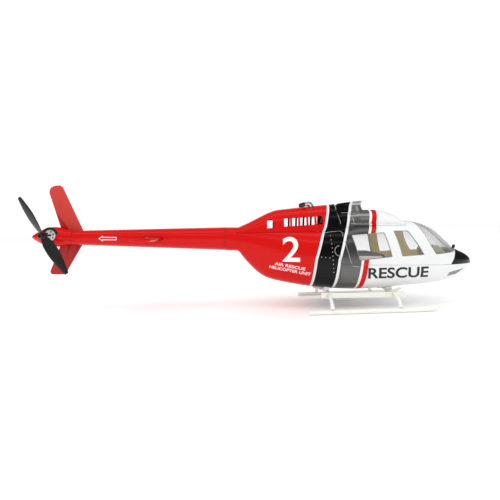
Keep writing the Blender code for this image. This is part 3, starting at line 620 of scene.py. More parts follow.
paints = {
    "livery": finish("liveryPaint", None, 0.3, coat=0.22, bump=0.008, drift=0.04, Specular_IOR_Level=0.12),
    "red": finish("redPaint", livery["red"], 0.3, coat=0.22, bump=0.008, drift=0.05,
                  Specular_IOR_Level=0.12),
    "fin": makeFinPaint(),
    "whiteMark": finish("whiteMarking", (0.88, 0.88, 0.88), 0.35, drift=0.03),
    "blackMark": finish("blackMarking", (0.006, 0.006, 0.007), 0.35, drift=0.03),
    # black for the roof seam bead: painted shade in the groove between cabin roof and fairing
    "black": finish("grooveShadeBlack", livery["black"], 0.3, coat=0.3),
    # light grey on raised seams, rivets and rims: a painted highlight where their edges catch the light
    "seamHighlight": finish("seamHighlightPaint", (0.46, 0.46, 0.47), 0.25, coat=0.5),
    "cream": finish("creamNylon", (0.86, 0.85, 0.79), 0.42, bump=0.06, drift=0.06, scale=80.0),
    "tan": finish("tanMoulding", (0.95, 0.76, 0.26), 0.55, bump=0.08, drift=0.12),
    "gasket": finish("windowGasket", (0.26, 0.26, 0.26), 0.5, bump=0.05),
    # olive is the tan moulding darkened: painted shade on the panel seen through the windshield
    "olive": finish("panelShadedTan", (0.40, 0.38, 0.29), 0.6, bump=0.1),
    "benchTop": finish("benchVinyl", (0.12, 0.105, 0.092), 0.45, bump=0.2, scale=150.0),
    "benchSide": finish("benchShell", (0.93, 0.92, 0.88), 0.4, bump=0.05),
    "chrome": finish("chromePlate", (0.80, 0.80, 0.81), 0.07, metal=1.0, drift=0.03, bump=0.01),
    "silver": finish("turnedAluminium", (0.80, 0.79, 0.77), 0.28, metal=1.0, scale=200.0, bump=0.05),
    "whiteBell": finish("bellFace", (0.86, 0.85, 0.83), 0.3, metal=0.25, scale=200.0, bump=0.04),
    "darkSteel": finish("darkSteel", (0.05, 0.05, 0.055), 0.4, metal=0.9),
    "blade": finish("bladeNylon", (0.012, 0.0125, 0.014), 0.34, bump=0.12, scale=130.0),
    "rubber": finish("blackRubber", (0.012, 0.011, 0.012), 0.5, bump=0.2, scale=160.0),
    "blackGloss": finish("blackGlossPaint", (0.006, 0.006, 0.007), 0.15, coat=0.8),
    "soot": finish("sootedBore", (0.01, 0.009, 0.008), 0.85),
    "copper": finish("windingCopper", (0.10, 0.045, 0.02), 0.45, metal=0.7, scale=400.0, bump=0.3),
    "wood": makeWood(),
    "clear": makeClear("clearPane", (0.46, 0.47, 0.47)),
}

print("body surface")


def bodyHalfWidth(x, z):
    share = (z - smooth(shell["widest"], x)) / (smooth(shell["top"], x) - smooth(shell["widest"], x))
    power = shell["squareness"]
    return smooth(shell["halfWidth"], x) * max(0.0, 1 - abs(share) ** power) ** (1 / power)


def bodyRing(x, inset):
    middle = smooth(shell["widest"], x)
    width = max(smooth(shell["halfWidth"], x) - inset, 0.4)
    up = max(smooth(shell["top"], x) - inset - middle, 0.3)
    down = max(middle - smooth(shell["bottom"], x) - inset, 0.3)
    power = 2.0 / shell["squareness"]
    ring = []
    for k in range(shell["around"]):
        angle = 2 * math.pi * k / shell["around"]
        across, rise = math.sin(angle), math.cos(angle)
        height = up if rise > 0 else down
        ring.append((x, -math.copysign(width * abs(across) ** power, across),
                     middle + math.copysign(height * abs(rise) ** power, rise)))
    return ring


def stationsBetween(low, high, step):
    count = max(int(round((high - low) / step)), 1)
    return [low + (high - low) * k / count for k in range(count + 1)]


def bodyLoft(name, low, high, inset=0.0):
    return loft(name, [bodyRing(x, inset) for x in stationsBetween(low, high, shell["step"])])


def cabinLoft(name, inset, rear=-25.0):
    tip = 129.6 - inset * 1.6
    stations = [x for x in stationsBetween(rear, 124.0, shell["step"]) if x < tip - 1.0]
    stations += [x for x in (125.5, 127.0, 128.2, 129.0) if x < tip - 0.3]
    return loft(name, [bodyRing(x, inset) for x in stations + [tip]])


def archRing(x, baseZ, halfWidth, top, inset, depth):
    ring = []
    for k in range(41):
        angle = math.pi * k / 40
        across, rise = math.cos(angle), math.sin(angle)
        ring.append((x, -math.copysign((halfWidth - inset) * abs(across) ** 0.9, across),
                     baseZ + max(top - inset - baseZ, 0.5) * rise ** 0.9))
    return [(x, ring[0][1], baseZ - depth)] + ring + [(x, ring[-1][1], baseZ - depth)]


def archLoft(name, cover, low, high, inset=0.0, depth=0.0):
    rings = []
    for x in stationsBetween(low, high, shell["step"]):
        base = straight(cover["seam"], x) + shell["gap"] / 2
        rings.append(archRing(x, base, bodyHalfWidth(x, base), smooth(cover["top"], x), inset, depth))
    return loft(name, rings)


def seamCutter(cover, rear, front):
    line = [(x, z - shell["gap"] / 2) for x, z in cover["seam"]]
    if rear < line[0][0]:
        line.insert(0, (rear, line[0][1]))
    if front > line[-1][0]:
        line.append((front, line[-1][1]))
    reach = shell["reach"]
    return prism("seamCutter", line + [(front, reach), (rear, reach)], -reach, reach)


def windowOutline(key, inset=0.0):
    outline = insetOutline(windows[key], inset) if inset else windows[key]
    return roundedOutline(outline, windows["cornerRadius"])


def makeRearBody():
    reach, half = shell["reach"], shell["gap"] / 2
    body = bodyLoft("rearBody", -134.6, -10.0)
    carve(body, bodyLoft("inner", -140.0, -8.0, shell["wall"]),
          block("behind", (shell["splitX"] - half, -reach, -reach), (20, reach, reach)),
          seamCutter(cowl, cowl["rearX"], 0.0))
    return finishPiece(soften(body), "airframe", "red_gloss", paints["livery"], "rear_body_shell")


def makeCowl():
    gap, wall, reach = shell["gap"], shell["wall"], shell["reach"]
    cover = archLoft("engineCowl", cowl, cowl["rearX"] + gap, shell["splitX"] - gap)
    carve(cover, archLoft("inner", cowl, -117.5, shell["splitX"] - gap - wall, wall, 6.0),
          prism("slot", roundedOutline(cowl["aftSlot"], 0.8), -reach, reach))
    for k in range(cowl["slots"]):
        rear = cowl["firstSlot"][0] + cowl["slotPitch"][0] * k
        low = cowl["firstSlot"][1] + cowl["slotPitch"][1] * k
        width, height = cowl["slotSize"]
        front = rear + width
        slot = ((rear, low), (front, low + 0.6), (front, low + 0.6 + height), (rear, low + height))
        carve(cover, prism("slot", roundedOutline(slot, 0.7), -reach, reach))
    for side in (-7.0, 7.0):
        carve(cover, rod("hole", (-42.5, side, 26), (-42.5, side, 45), 2.7))
    return finishPiece(soften(cover), "airframe", "red_gloss", paints["livery"], "engine_cowl")


def makeCabin():
    reach, half = shell["reach"], shell["gap"] / 2
    front = shell["splitX"] + half
    cabin = cabinLoft("cabinShell", 0.0)
    carve(cabin, cabinLoft("inner", shell["wall"], -30.0))
    pan = cabin.copy()
    pan.data = cabin.data.copy()
    pan.name = "bellyPan"
    bpy.context.scene.collection.objects.link(pan)
    post = windows["postHalfWidth"]
    screen = roundedOutline(windows["windshield"], 1.2)
    carve(cabin, block("aft", (-60, -reach, -reach), (front, reach, reach)),
          block("below", (-60, -reach, -reach), (150, reach, shell["sillZ"] + half)),
          seamCutter(fairing, shell["splitX"] - 10, fairing["frontX"]),
          prism("frontDoors", windowOutline("frontDoor"), -reach, reach),
          prism("rearDoors", windowOutline("rearDoor"), -reach, reach),
          prism("pane", screen, -reach, -post), prism("pane", screen, post, reach))
    carve(pan, block("aft", (-60, -reach, -reach), (front, reach, reach)),
          block("above", (-60, -reach, shell["sillZ"] - half), (150, reach, reach)),
          prism("chins", roundedOutline(windows["chin"], 0.6), -reach, reach))
    finishPiece(soften(pan), "airframe", "white_gloss", paints["livery"], "belly_pan")
    return finishPiece(soften(cabin), "cabin", "white_gloss", paints["livery"], "cabin_shell")


def makeFairing():
    half, wall = shell["gap"] / 2, shell["wall"]
    cover = archLoft("roofFairing", fairing, shell["splitX"] + half, fairing["frontX"] - 2 * half)
    carve(cover, archLoft("inner", fairing, -25.0, 49.5, wall, 6.0),
          rod("mastHole", (-0.4, 0, 10), (-0.4, 0, 45), 9.6))
    return finishPiece(soften(cover), "cabin", "white_gloss", paints["livery"], "roof_fairing")


rearBody = makeRearBody()
engineCowl = makeCowl()
cabinShell = makeCabin()
roofFairing = makeFairing()

print("glazing and door liners")


def makeGasket(name, outline, low, high, body):
    # thin grey bead that fills the gap round a pane
    reach = shell["reach"]
    bead = cabinLoft(name, 0.12)
    carve(bead, cabinLoft("inner", 1.0, -30.0))
    carve(bead, prism("outside", insetOutline(outline, -0.06), low, high), operation="INTERSECT")
    carve(bead, prism("inside", insetOutline(outline, 0.55), -reach, reach))
    finishPiece(soften(bead), body, "dark_plastic", paints["gasket"])
    finishPiece(portCopy(bead, name.replace("Right", "Left")), body, "dark_plastic", paints["gasket"])


def makePane(name, outline, low, high, body, node):
    pane = cabinLoft(name, 0.25)
    carve(pane, cabinLoft("inner", 0.85, -30.0))
    carve(pane, prism("window", outline, low, high), operation="INTERSECT")
    finishPiece(soften(pane), body, "clear_pane", paints["clear"], node + "_right")
    port = portCopy(pane, name.replace("Right", "Left"))
    finishPiece(port, body, "clear_pane", paints["clear"], node + "_left")


def makeGlazing():
    gap, reach, post = shell["gap"], shell["reach"], windows["postHalfWidth"]
    makePane("frontDoorWindowRight", windowOutline("frontDoor", gap), -reach, -5, "cabin",
             "front_door_window")
    makePane("rearDoorWindowRight", windowOutline("rearDoor", gap), -reach, -5, "cabin", "rear_door_window")
    screen = roundedOutline(insetOutline(windows["windshield"], gap), 1.2)
    makePane("windshieldRight", screen, -reach, -post - gap, "cabin", "windshield")
    for key, name in (("frontDoor", "frontDoorGasketRight"), ("rearDoor", "rearDoorGasketRight")):
        makeGasket(name, windowOutline(key), -reach, -5, "cabin")
    makeGasket("windshieldGasketRight", roundedOutline(windows["windshield"], 1.2), -reach, -post, "cabin")
    chin = roundedOutline(insetOutline(windows["chin"], gap), 0.5)
    makePane("chinWindowRight", chin, -reach, -1, "airframe", "chin_window")


def makeLiners():
    outer = shell["wall"] + shell["gap"]
    reach = shell["reach"]
    liner = cabinLoft("doorLinerRight", outer)
    carve(liner, cabinLoft("inner", outer + 1.2, -30.0))
    carve(liner, prism("side", windows["liner"], -reach, -15.0), operation="INTERSECT")
    carve(liner, prism("front", windowOutline("frontDoor", -0.4), -reach, 0),
          prism("rear", windowOutline("rearDoor", -0.4), -reach, 0))
    finishPiece(soften(liner), "cabin", "tan_plastic", paints["tan"], "door_liner_right")
    finishPiece(portCopy(liner, "doorLinerLeft"), "cabin", "tan_plastic", paints["tan"], "door_liner_left")


makeGlazing()
makeLiners()

print("collar, exhausts and nose post")

collar = {"profile": ((14.3, 22.0), (14.3, 29.6), (13.6, 31.4), (12.6, 33.2), (12.0, 35.0), (12.0, 36.4),
                      (12.5, 37.7), (13.4, 38.8), (13.8, 39.3), (13.2, 39.5), (12.4, 39.2), (10.9, 38.4),
                      (10.5, 37.2), (10.4, 22.0)),
          "scoop": ((-16.2, 24.0), (-2.0, 24.0), (-2.0, 38.4), (-13.0, 37.6), (-16.2, 35.6)),
          "scoopHalf": 10.5,
          "centreX": -0.4, "sides": 72, "rise": 1.5, "flareZ": 30.2}


def makeCollar():
    rings = []
    for radius, z in collar["profile"]:
        ring = []
        for k in range(collar["sides"]):
            angle = math.tau * k / collar["sides"]
            x = radius * math.cos(angle)
            lift = max(z - collar["flareZ"], 0.0) / 9.1 * x / 13.8 * collar["rise"]
            ring.append((collar["centreX"] + x, radius * math.sin(angle), z + lift))
        rings.append(ring)
    chimney = loft("mastCollar", rings + [rings[0]], capped=False)
    activate(chimney)
    bpy.ops.object.mode_set(mode="EDIT")
    bpy.ops.mesh.select_all(action="SELECT")
    bpy.ops.mesh.remove_doubles(threshold=0.00001)
    bpy.ops.mesh.normals_make_consistent(inside=False)
    bpy.ops.object.mode_set(mode="OBJECT")
    scoop = prism("scoop", roundedOutline(collar["scoop"], 1.5), -collar["scoopHalf"], collar["scoopHalf"])
    bevelEdges(scoop, 0.8)
    carve(chimney, scoop, operation="UNION")
    carve(chimney, rod("bore", (collar["centreX"], 0, 10), (collar["centreX"], 0, 60), 10.4, 72),
          archLoft("seat", fairing, -20.0, 26.0, -shell["gap"], 20.0))
    return finishPiece(soften(chimney, 40), "cabin", "grey_metallic", paints["livery"], "mast_collar")


exhaust = {"side": 7.0, "foot": (-42.5, 28.0), "bend": (-46.2, 34.2, 3.7), "mouth": (-54.0, 36.0),
           "radius": 2.1, "bore": 1.65, "sleeve": ((-54.2, 35.95), (-49.6, 37.07)), "sleeveRadius": 2.35}


def makeExhausts():
    centreX, centreZ, bow = exhaust["bend"]
    path = [(exhaust["foot"][0], 0, exhaust["foot"][1])]
    path += [(centreX + bow * math.cos(a), 0, centreZ + bow * math.sin(a))
             for a in (math.radians(90) * k / 12 for k in range(13))]
    path.append((exhaust["mouth"][0], 0, exhaust["mouth"][1]))
    for label, side in (("Right", -1), ("Left", 1)):
        run = [(x, side * exhaust["side"], z) for x, _, z in path]
        pipe = tube("exhaust" + label, run, exhaust["radius"], 32)
        beyond = [run[0]] + run[1:] + [(-58.0, run[-1][1], run[-1][2] - 0.9)]
        carve(pipe, tube("bore", beyond[1:], exhaust["bore"], 32))
        finishPiece(soften(pipe), "airframe", "chrome", paints["chrome"], "exhaust_" + label.lower())
        inner = tube("exhaustSoot" + label, run[3:12], exhaust["bore"] - 0.1, 24)
        finishPiece(soften(inner), "airframe", "dark_plastic", paints["soot"])
        rear = [(x, side * exhaust["side"], z) for x, z in exhaust["sleeve"]]
        sleeve = tube("exhaustSleeve" + label, rear, exhaust["sleeveRadius"], 32)
        carve(sleeve, tube("bore", beyond[-3:], exhaust["radius"] - 0.05, 32))
        finishPiece(soften(sleeve), "airframe", "black_gloss", paints["blackGloss"])


def makeNosePost():
    foot, tip = Vector((112.3, 0, -10.7)), Vector((113.9, 0, -6.3))
    shares = (0.0, 0.2, 0.78, 0.9, 0.97, 1.0)
    post = tube("nosePost", [foot.lerp(tip, share) for share in shares], [1.5, 1.55, 1.6, 1.3, 0.8, 0.3], 24)
    return finishPiece(soften(post, 50), "cabin", "black_gloss", paints["blackGloss"], "nose_post")


makeCollar()
makeExhausts()
makeNosePost()

print("interior")


def refined(node, name, body, slotName, paint, bevel=0.0, degrees=30):
    # the node's own solid with its triangles merged, edges eased and shading smoothed
    piece = frame["nodes"][node].copy()
    piece.data = frame["nodes"][node].data.copy()
    piece.parent = None
    piece.name = name
    bpy.context.scene.collection.objects.link(piece)
    activate(piece)
    bpy.ops.object.mode_set(mode="EDIT")
    bpy.ops.mesh.select_all(action="SELECT")
    bpy.ops.mesh.remove_doubles(threshold=0.000002)
    bpy.ops.mesh.dissolve_limited(angle_limit=math.radians(0.5))
    bpy.ops.object.mode_set(mode="OBJECT")
    if bevel:
        bevelEdges(piece, bevel, degrees)
    return finishPiece(soften(piece, degrees), body, slotName, paint, node)


bench = {"rear": -6.0, "front": 30.0, "top": -14.5, "base": -35.7, "half": 25.0, "cushion": 2.0,
         "corner": 4.5}


def makeBench():
    # a moulded box with a padded lid whose front edge is rounded off
    top, rear, front = bench["top"], bench["rear"], bench["front"]
    seam = top - bench["cushion"]
    box = prism("benchBox", ((rear, bench["base"]), (front - 1.0, bench["base"]), (front - 1.0, seam - 3.2),
                             (front - 2.0, seam - 1.2), (front - 4.0, seam - 0.1), (rear, seam - 0.1)),
                -bench["half"] + 0.6, bench["half"] - 0.6)
    bevelEdges(box, 0.6)
    finishPiece(soften(box), "airframe", "dark_plastic", paints["benchSide"])
    corner = bench["corner"]
    arc = [(front - corner + corner * math.sin(a), top - corner + corner * math.cos(a))
           for a in (math.radians(80) * k / 8 for k in range(9))]
    lid = [(rear, seam), (rear, top)] + arc
    lid += [(x - 1.5 * math.sin(math.radians(80) * (8 - k) / 8),
             z - 1.6 * math.cos(math.radians(80) * (8 - k) / 8))
            for k, (x, z) in enumerate(reversed(arc))]
    cushion = prism("benchCushion", lid, -bench["half"], bench["half"])
    bevelEdges(cushion, 0.5, 40)
    finishPiece(soften(cushion), "airframe", "dark_plastic", paints["benchTop"], "bench_seat")


def makeInterior():
    makeBench()
    refined("instrument_panel", "instrumentPanel", "cabin", "dark_plastic", paints["olive"], 0.8)
    refined("mechanics_tray", "mechanicsTray", "airframe", "plywood", paints["wood"], 0.15)
    for place in ("rear", "front"):
        refined("tray_former_" + place, "trayFormer" + place.capitalize(), "airframe", "plywood",
                paints["wood"])
    refined("boom_joint_sleeve", "boomJointSleeve", "airframe", "dark_plastic", paints["blackGloss"])
    for side in ("right", "left"):
        refined("cabin_magnet_" + side, "cabinMagnet" + side.capitalize(), "cabin", "silver_metal",
                paints["silver"], 0.15)
        refined("pan_magnet_" + side, "panMagnet" + side.capitalize(), "airframe", "silver_metal",
                paints["silver"], 0.15)


makeInterior()

print("boom and tail")

boom = {"front": -134.9, "rear": -300.0, "radius": ((-134.9, 12.35), (-289.4, 7.9), (-300.0, 7.6)),
        "centre": ((-134.9, 0.0), (-300.0, 1.0)), "wall": 1.1, "sides": 72}
pod = {"profile": ((-300.3, 7.6), (-306, 8.0), (-311, 9.3), (-316, 10.5), (-321, 10.9), (-327, 10.2),
                   (-333, 8.2), (-338.5, 5.5), (-343, 2.9), (-345.2, 1.3), (-345.8, 0.5)), "centreZ": 1.8,
       "bore": 7.2}
fin = {"outline": ((-332.6, 51.5), (-331.2, 56.2), (-327.0, 58.6), (-321.0, 59.3), (-318.2, 57.4),
                   (-294.8, 7.9), (-293.2, 0.0), (-296.5, -7.8), (-309.7, -30.7), (-314.6, -39.3),
                   (-316.6, -40.2), (-329.6, -40.2), (-331.6, -37.4), (-320.0, -7.8), (-309.5, 2.0),
                   (-319.5, 11.6)), "innerY": 8.2, "thickness": 2.4, "screwX": -300.2, "screwZ": (6.0, -4.0)}
stabiliser = {"x": (-225.0, -201.0), "halfSpan": 49.2, "thickness": 3.8,
              "section": ((0.0, 0.50), (0.03, 0.64), (0.10, 0.72), (0.50, 0.88), (0.80, 1.0), (0.90, 1.0),
                          (0.96, 0.9),
                          (0.99, 0.74), (1.0, 0.60), (0.99, 0.46), (0.97, 0.32), (0.88, 0.12),
                          (0.78, 0.03), (0.70, 0.0),
                          (0.58, 0.01), (0.45, 0.08), (0.30, 0.2), (0.15, 0.34), (0.03, 0.45))}


def roundRing(x, radius, centreZ, sides):
    return [(x, -radius * math.sin(math.tau * k / sides), centreZ + radius * math.cos(math.tau * k / sides))
            for k in range(sides)]


def boomLoft(name, low, high, inset=0.0):
    return loft(name, [roundRing(x, straight(boom["radius"], x) - inset, straight(boom["centre"], x),
                                 boom["sides"])
                       for x in stationsBetween(low, high, 6.0)])


def podLoft(name, inset=0.0):
    rings = []
    for x in stationsBetween(-345.8, -300.3, 1.3):
        blend = min(max((boom["rear"] - x) / 16.0, 0.0), 1.0)
        rings.append(roundRing(x, smooth(pod["profile"], x) - inset, 1.0 + (pod["centreZ"] - 1.0) * blend,
                               64))
    return loft(name, rings)


def stabiliserOutline(grow=0.0):
    rear, front = stabiliser["x"]
    low = -stabiliser["thickness"] / 2
    outline = [(rear + (front - rear) * u, low + stabiliser["thickness"] * v) for u,
               v in stabiliser["section"]]
    return insetOutline(outline, grow) if grow else outline


def makeBoom():
    reach = shell["reach"]
    pipe = boomLoft("tailBoom", boom["front"], boom["rear"])
    carve(pipe, boomLoft("inner", boom["front"] + 1.0, boom["rear"] - 10.0, boom["wall"]),
          prism("slot", stabiliserOutline(-shell["gap"]), -reach, reach))
    finishPiece(soften(pipe), "airframe", "red_gloss", paints["red"], "tail_boom")
    plank = prism("stabiliserPlank", stabiliserOutline(), -stabiliser["halfSpan"], stabiliser["halfSpan"])
    bevelEdges(plank, 0.7, 50, 4)
    finishPiece(soften(plank), "airframe", "red_gloss", paints["red"], "stabiliser")


def acrossRod(name, radius, y0, y1, sides=48):
    return rod(name, (rotorAxis.x, y0, rotorAxis.z), (rotorAxis.x, y1, rotorAxis.z), radius, sides)


def makePod():
    body = podLoft("tailPod")
    carve(body, acrossRod("motorBore", pod["bore"], -20, 5.0), rod("wireWay", (-290, 0, 1.0),
                                                                   (-318, 0, 1.5), 2.6))
    finishPiece(soften(body), "airframe", "red_gloss", paints["red"], "tail_pod")
    plate = prism("swayFin", roundedOutline(fin["outline"], 1.4), fin["innerY"],
                  fin["innerY"] + fin["thickness"])
    bevelEdges(plate, 0.55, 50, 3)
    carve(plate, podLoft("seat", -shell["gap"]))
    for z in fin["screwZ"]:
        carve(plate, rod("hole", (fin["screwX"], 6, z), (fin["screwX"], 14, z), 1.2))
    finishPiece(soften(plate), "airframe", "red_gloss", paints["fin"], "fin")
    outer = fin["innerY"] + fin["thickness"]
    for label, z in zip(("upper", "lower"), fin["screwZ"]):
        screw = refined("fin_screw_" + label, "finScrew" + label.capitalize(), "airframe", "silver_metal",
                        paints["darkSteel"], 0.2)
        carve(screw, block("driveSlot", (fin["screwX"] - 1.5, outer + 0.9, z - 0.25),
                           (fin["screwX"] + 1.5, outer + 3.0, z + 0.25)))


motor = {"ringOuter": 8.2, "ringInner": 6.5, "bell": 6.1, "bellDepth": (-8.6, 1.0), "vents": 6,
         "ventSpan": (2.5, 4.6), "ventHalf": 0.75, "shaft": 1.0, "turns": 12}


def makeMotor():
    # the rubber ring is a flattened torus seated on the pod's side
    bpy.ops.object.select_all(action="DESELECT")
    middle = (motor["ringOuter"] + motor["ringInner"]) / 2
    bpy.ops.mesh.primitive_torus_add(major_radius=middle * mm, minor_radius=1.35 * mm, major_segments=72,
                                     minor_segments=20,
                                     location=drawing @ Vector((rotorAxis.x, -8.6, rotorAxis.z)),
                                     rotation=(math.radians(90), 0, 0))
    ring = bpy.context.object
    ring.name = "motorRing"
    bpy.ops.object.transform_apply(location=True, rotation=True, scale=True)
    carve(ring, podLoft("seat", -0.1))
    finishPiece(soften(ring, 50), "airframe", "dark_plastic", paints["rubber"], "motor_ring")
    refined("motor_base", "motorBase", "airframe", "silver_metal", paints["darkSteel"])
    low, high = motor["bellDepth"]
    bell = acrossRod("motorBell", motor["bell"], low, high, 64)
    bevelEdges(bell, 0.7, 50)
    carve(bell, acrossRod("inside", motor["bell"] - 0.9, low + 1.2, high + 4, 64),
          acrossRod("hole", 1.3, -20, 5, 32))
    for k in range(motor["vents"]):
        angle = math.tau * k / motor["vents"] + 0.35
        spokes = []
        for end in motor["ventSpan"]:
            spokes.append((rotorAxis.x + end * math.cos(angle), rotorAxis.z + end * math.sin(angle)))
        half = Vector((-math.sin(angle), math.cos(angle))) * motor["ventHalf"]
        a, b = Vector(spokes[0]), Vector(spokes[1])
        vent = [tuple(a - half * 0.7), tuple(b - half * 1.3), tuple(b + half * 1.3), tuple(a + half * 0.7)]
        carve(bell, prism("vent", roundedOutline(vent, 0.5), -12, -6))
    finishPiece(soften(bell), "tail_rotor", "silver_metal", paints["whiteBell"], "motor_bell")
    coils = []
    for k in range(motor["turns"]):
        angle = math.tau * k / motor["turns"]
        x, z = rotorAxis.x + 3.9 * math.cos(angle), rotorAxis.z + 3.9 * math.sin(angle)
        coils.append(rod("coil", (x, -6.4, z), (x, 0.6, z), 0.85, 16))
    finishPiece(soften(joined("statorCoils", coils)), "airframe", "dark_plastic", paints["copper"])
    shaft = acrossRod("motorShaft", motor["shaft"], -24.6, 4.0, 32)
    bevelEdges(shaft, 0.25, 50)
    finishPiece(soften(shaft), "tail_rotor", "silver_metal", paints["darkSteel"], "motor_shaft")
    nut = acrossRod("propNut", 2.6, rotorAxis.y - 5.2, rotorAxis.y - 2.9, 6)
    carve(nut, acrossRod("hole", 1.3, -40, 0, 24))
    bevelEdges(nut, 0.25, 40)
    finishPiece(soften(nut, 25), "tail_rotor", "silver_metal", paints["blackGloss"], "prop_nut")


prop = {"radius": 46.5, "lean": math.radians(32), "hub": 3.7, "hubHalf": 2.6,
        "chord": ((2.2, 6.0), (6.0, 8.6), (12.0, 10.6), (20.0, 11.0), (30.0, 9.4), (40.0, 6.4), (45.0, 4.6),
                  (46.5, 3.6)),
        "pitch": ((4.0, 40.0), (20.0, 28.0), (35.0, 20.0), (46.5, 15.0)), "sectionPoints": 20}


def bladeRing(radius):
    chord = smooth(prop["chord"], radius)
    pitch = math.radians(smooth(prop["pitch"], radius))
    thick = 0.45 + 0.075 * chord
    ring = []
    for k in range(prop["sectionPoints"]):
        angle = math.tau * k / prop["sectionPoints"]
        u = -0.5 * math.cos(angle)
        camber = 0.14 * (1 - (2 * u) ** 2)
        fat = math.sin(angle) * 0.5 * (1.0 - 0.45 * u)
        along, over = u * chord, (fat + camber) * thick
        ring.append((along * math.cos(pitch) - over * math.sin(pitch),
                     -(along * math.sin(pitch) + over * math.cos(pitch)), radius))
    return ring


def makeProp():
    hub = acrossRod("tailProp", prop["hub"], rotorAxis.y - prop["hubHalf"], rotorAxis.y + prop["hubHalf"])
    bevelEdges(hub, 0.6, 50)
    for half in (0.0, math.pi):
        turn = Matrix.Translation(rotorAxis) @ Matrix.Rotation(half - prop["lean"], 4, "Y")
        rings = [[turn @ Vector(p) for p in bladeRing(r)] for r in stationsBetween(2.0, prop["radius"], 1.5)]
        carve(hub, loft("blade", rings), operation="UNION")
    carve(hub, acrossRod("hole", 1.3, -40, 0, 32))
    finishPiece(soften(hub, 35), "tail_rotor", "dark_plastic", paints["blade"], "tail_prop")


makeBoom()
makePod()
makeMotor()
makeProp()

print("landing gear")

gear = {"skidY": 47.2, "skidRadius": 1.9,
        "skid": ((-51.2, -69.4), (62.5, -65.7), (67.6, -65.0), (71.6, -63.7), (74.8, -62.1)),
        "struts": (("rear", -28.3), ("front", 36.7)), "strutRadius": 1.7,
        "rise": ((0.0, 13.6), (14.0, 13.6), (25.0, 13.3), (33.0, 12.3), (38.5, 10.6), (42.5, 8.4),
                 (45.4, 5.8),
                 (47.2, 2.6)),
        "stepX": (-35.8, 47.6), "stepY": (25.0, 30.5), "stepZ": (-58.4, -53.0), "stepLean": 0.016}


def roundedPath(points, rounds=2):
    path = [Vector(p) for p in points]
    for _ in range(rounds):
        finer = [path[0]]
        for a, b in zip(path, path[1:]):
            finer += [a * 0.75 + b * 0.25, a * 0.25 + b * 0.75]
        path = finer + [path[-1]]
    return path


def strutTube(name, x, grow=0.0, sides=28):
    floorZ = straight(gear["skid"][:2], x)
    half = [(y, floorZ + rise) for y, rise in gear["rise"]]
    foot = half[-1][1]
    run = [(x, -y, z) for y, z in reversed(half[1:])] + [(x, y, z) for y, z in half]
    path = roundedPath(run)
    sizes = []
    for point in path:
        nearFoot = max(0.0, 1.0 - (point.z - foot) / 4.0)
        sizes.append(gear["strutRadius"] + grow + (0.0 if grow else 0.45 * nearFoot ** 1.5))
    return tube(name, path, sizes, sides)


def makeGear():
    (rear, front), (low, high) = gear["stepX"], gear["stepZ"]
    bar = [(x, z + gear["stepLean"] * x) for x, z in ((rear, low), (front, low), (front, high),
                                                      (rear, high))]
    step = prism("stepBarRight", bar, -gear["stepY"][1], -gear["stepY"][0])
    bevelEdges(step, 0.9, 30, 4)
    for place, x in gear["struts"]:
        carve(step, strutTube("strut", x, shell["gap"]))
        cross = strutTube("crossTube" + place.capitalize(), x)
        finishPiece(soften(cross, 40), "airframe", "cream_plastic", paints["cream"], "cross_tube_" + place)
        for side in ("right", "left"):
            refined("belly_saddle_%s_%s" % (place, side),
                    "bellySaddle" + place.capitalize() + side.capitalize(),
                    "airframe", "cream_plastic", paints["cream"], 0.3)
    finishPiece(soften(step), "airframe", "cream_plastic", paints["cream"], "step_bar_right")
    finishPiece(portCopy(step, "stepBarLeft"), "airframe", "cream_plastic", paints["cream"], "step_bar_left")
    path = [(x, -gear["skidY"], z) for x, z in gear["skid"]]
    path = [path[0], tuple(Vector(path[0]).lerp(Vector(path[1]), 0.008))] + path[1:]
    run = [Vector(path[0]), Vector(path[1])] + roundedPath(path[2:])
    tip = run[-1] + (run[-1] - run[-2]).normalized() * 0.1
    sizes = [gear["skidRadius"] * 0.72] + [gear["skidRadius"]] * (len(run) - 1)
    skid = tube("skidRight", run + [tip], sizes + [gear["skidRadius"] * 0.72], 28)
    # socket collars where the struts stand on the skid
    for place, x in gear["struts"]:
        z = straight(gear["skid"][:2], x)
        collarRod = rod("collar", (x - 3.4, -gear["skidY"], z - 0.1), (x + 3.4, -gear["skidY"], z + 0.12),
                        1.98, 28)
        carve(skid, collarRod, operation="UNION")
    finishPiece(soften(skid, 40), "airframe", "cream_plastic", paints["cream"], "skid_right")
    finishPiece(portCopy(skid, "skidLeft"), "airframe", "cream_plastic", paints["cream"], "skid_left")


makeGear()

print("panel lines, rivets and markings")

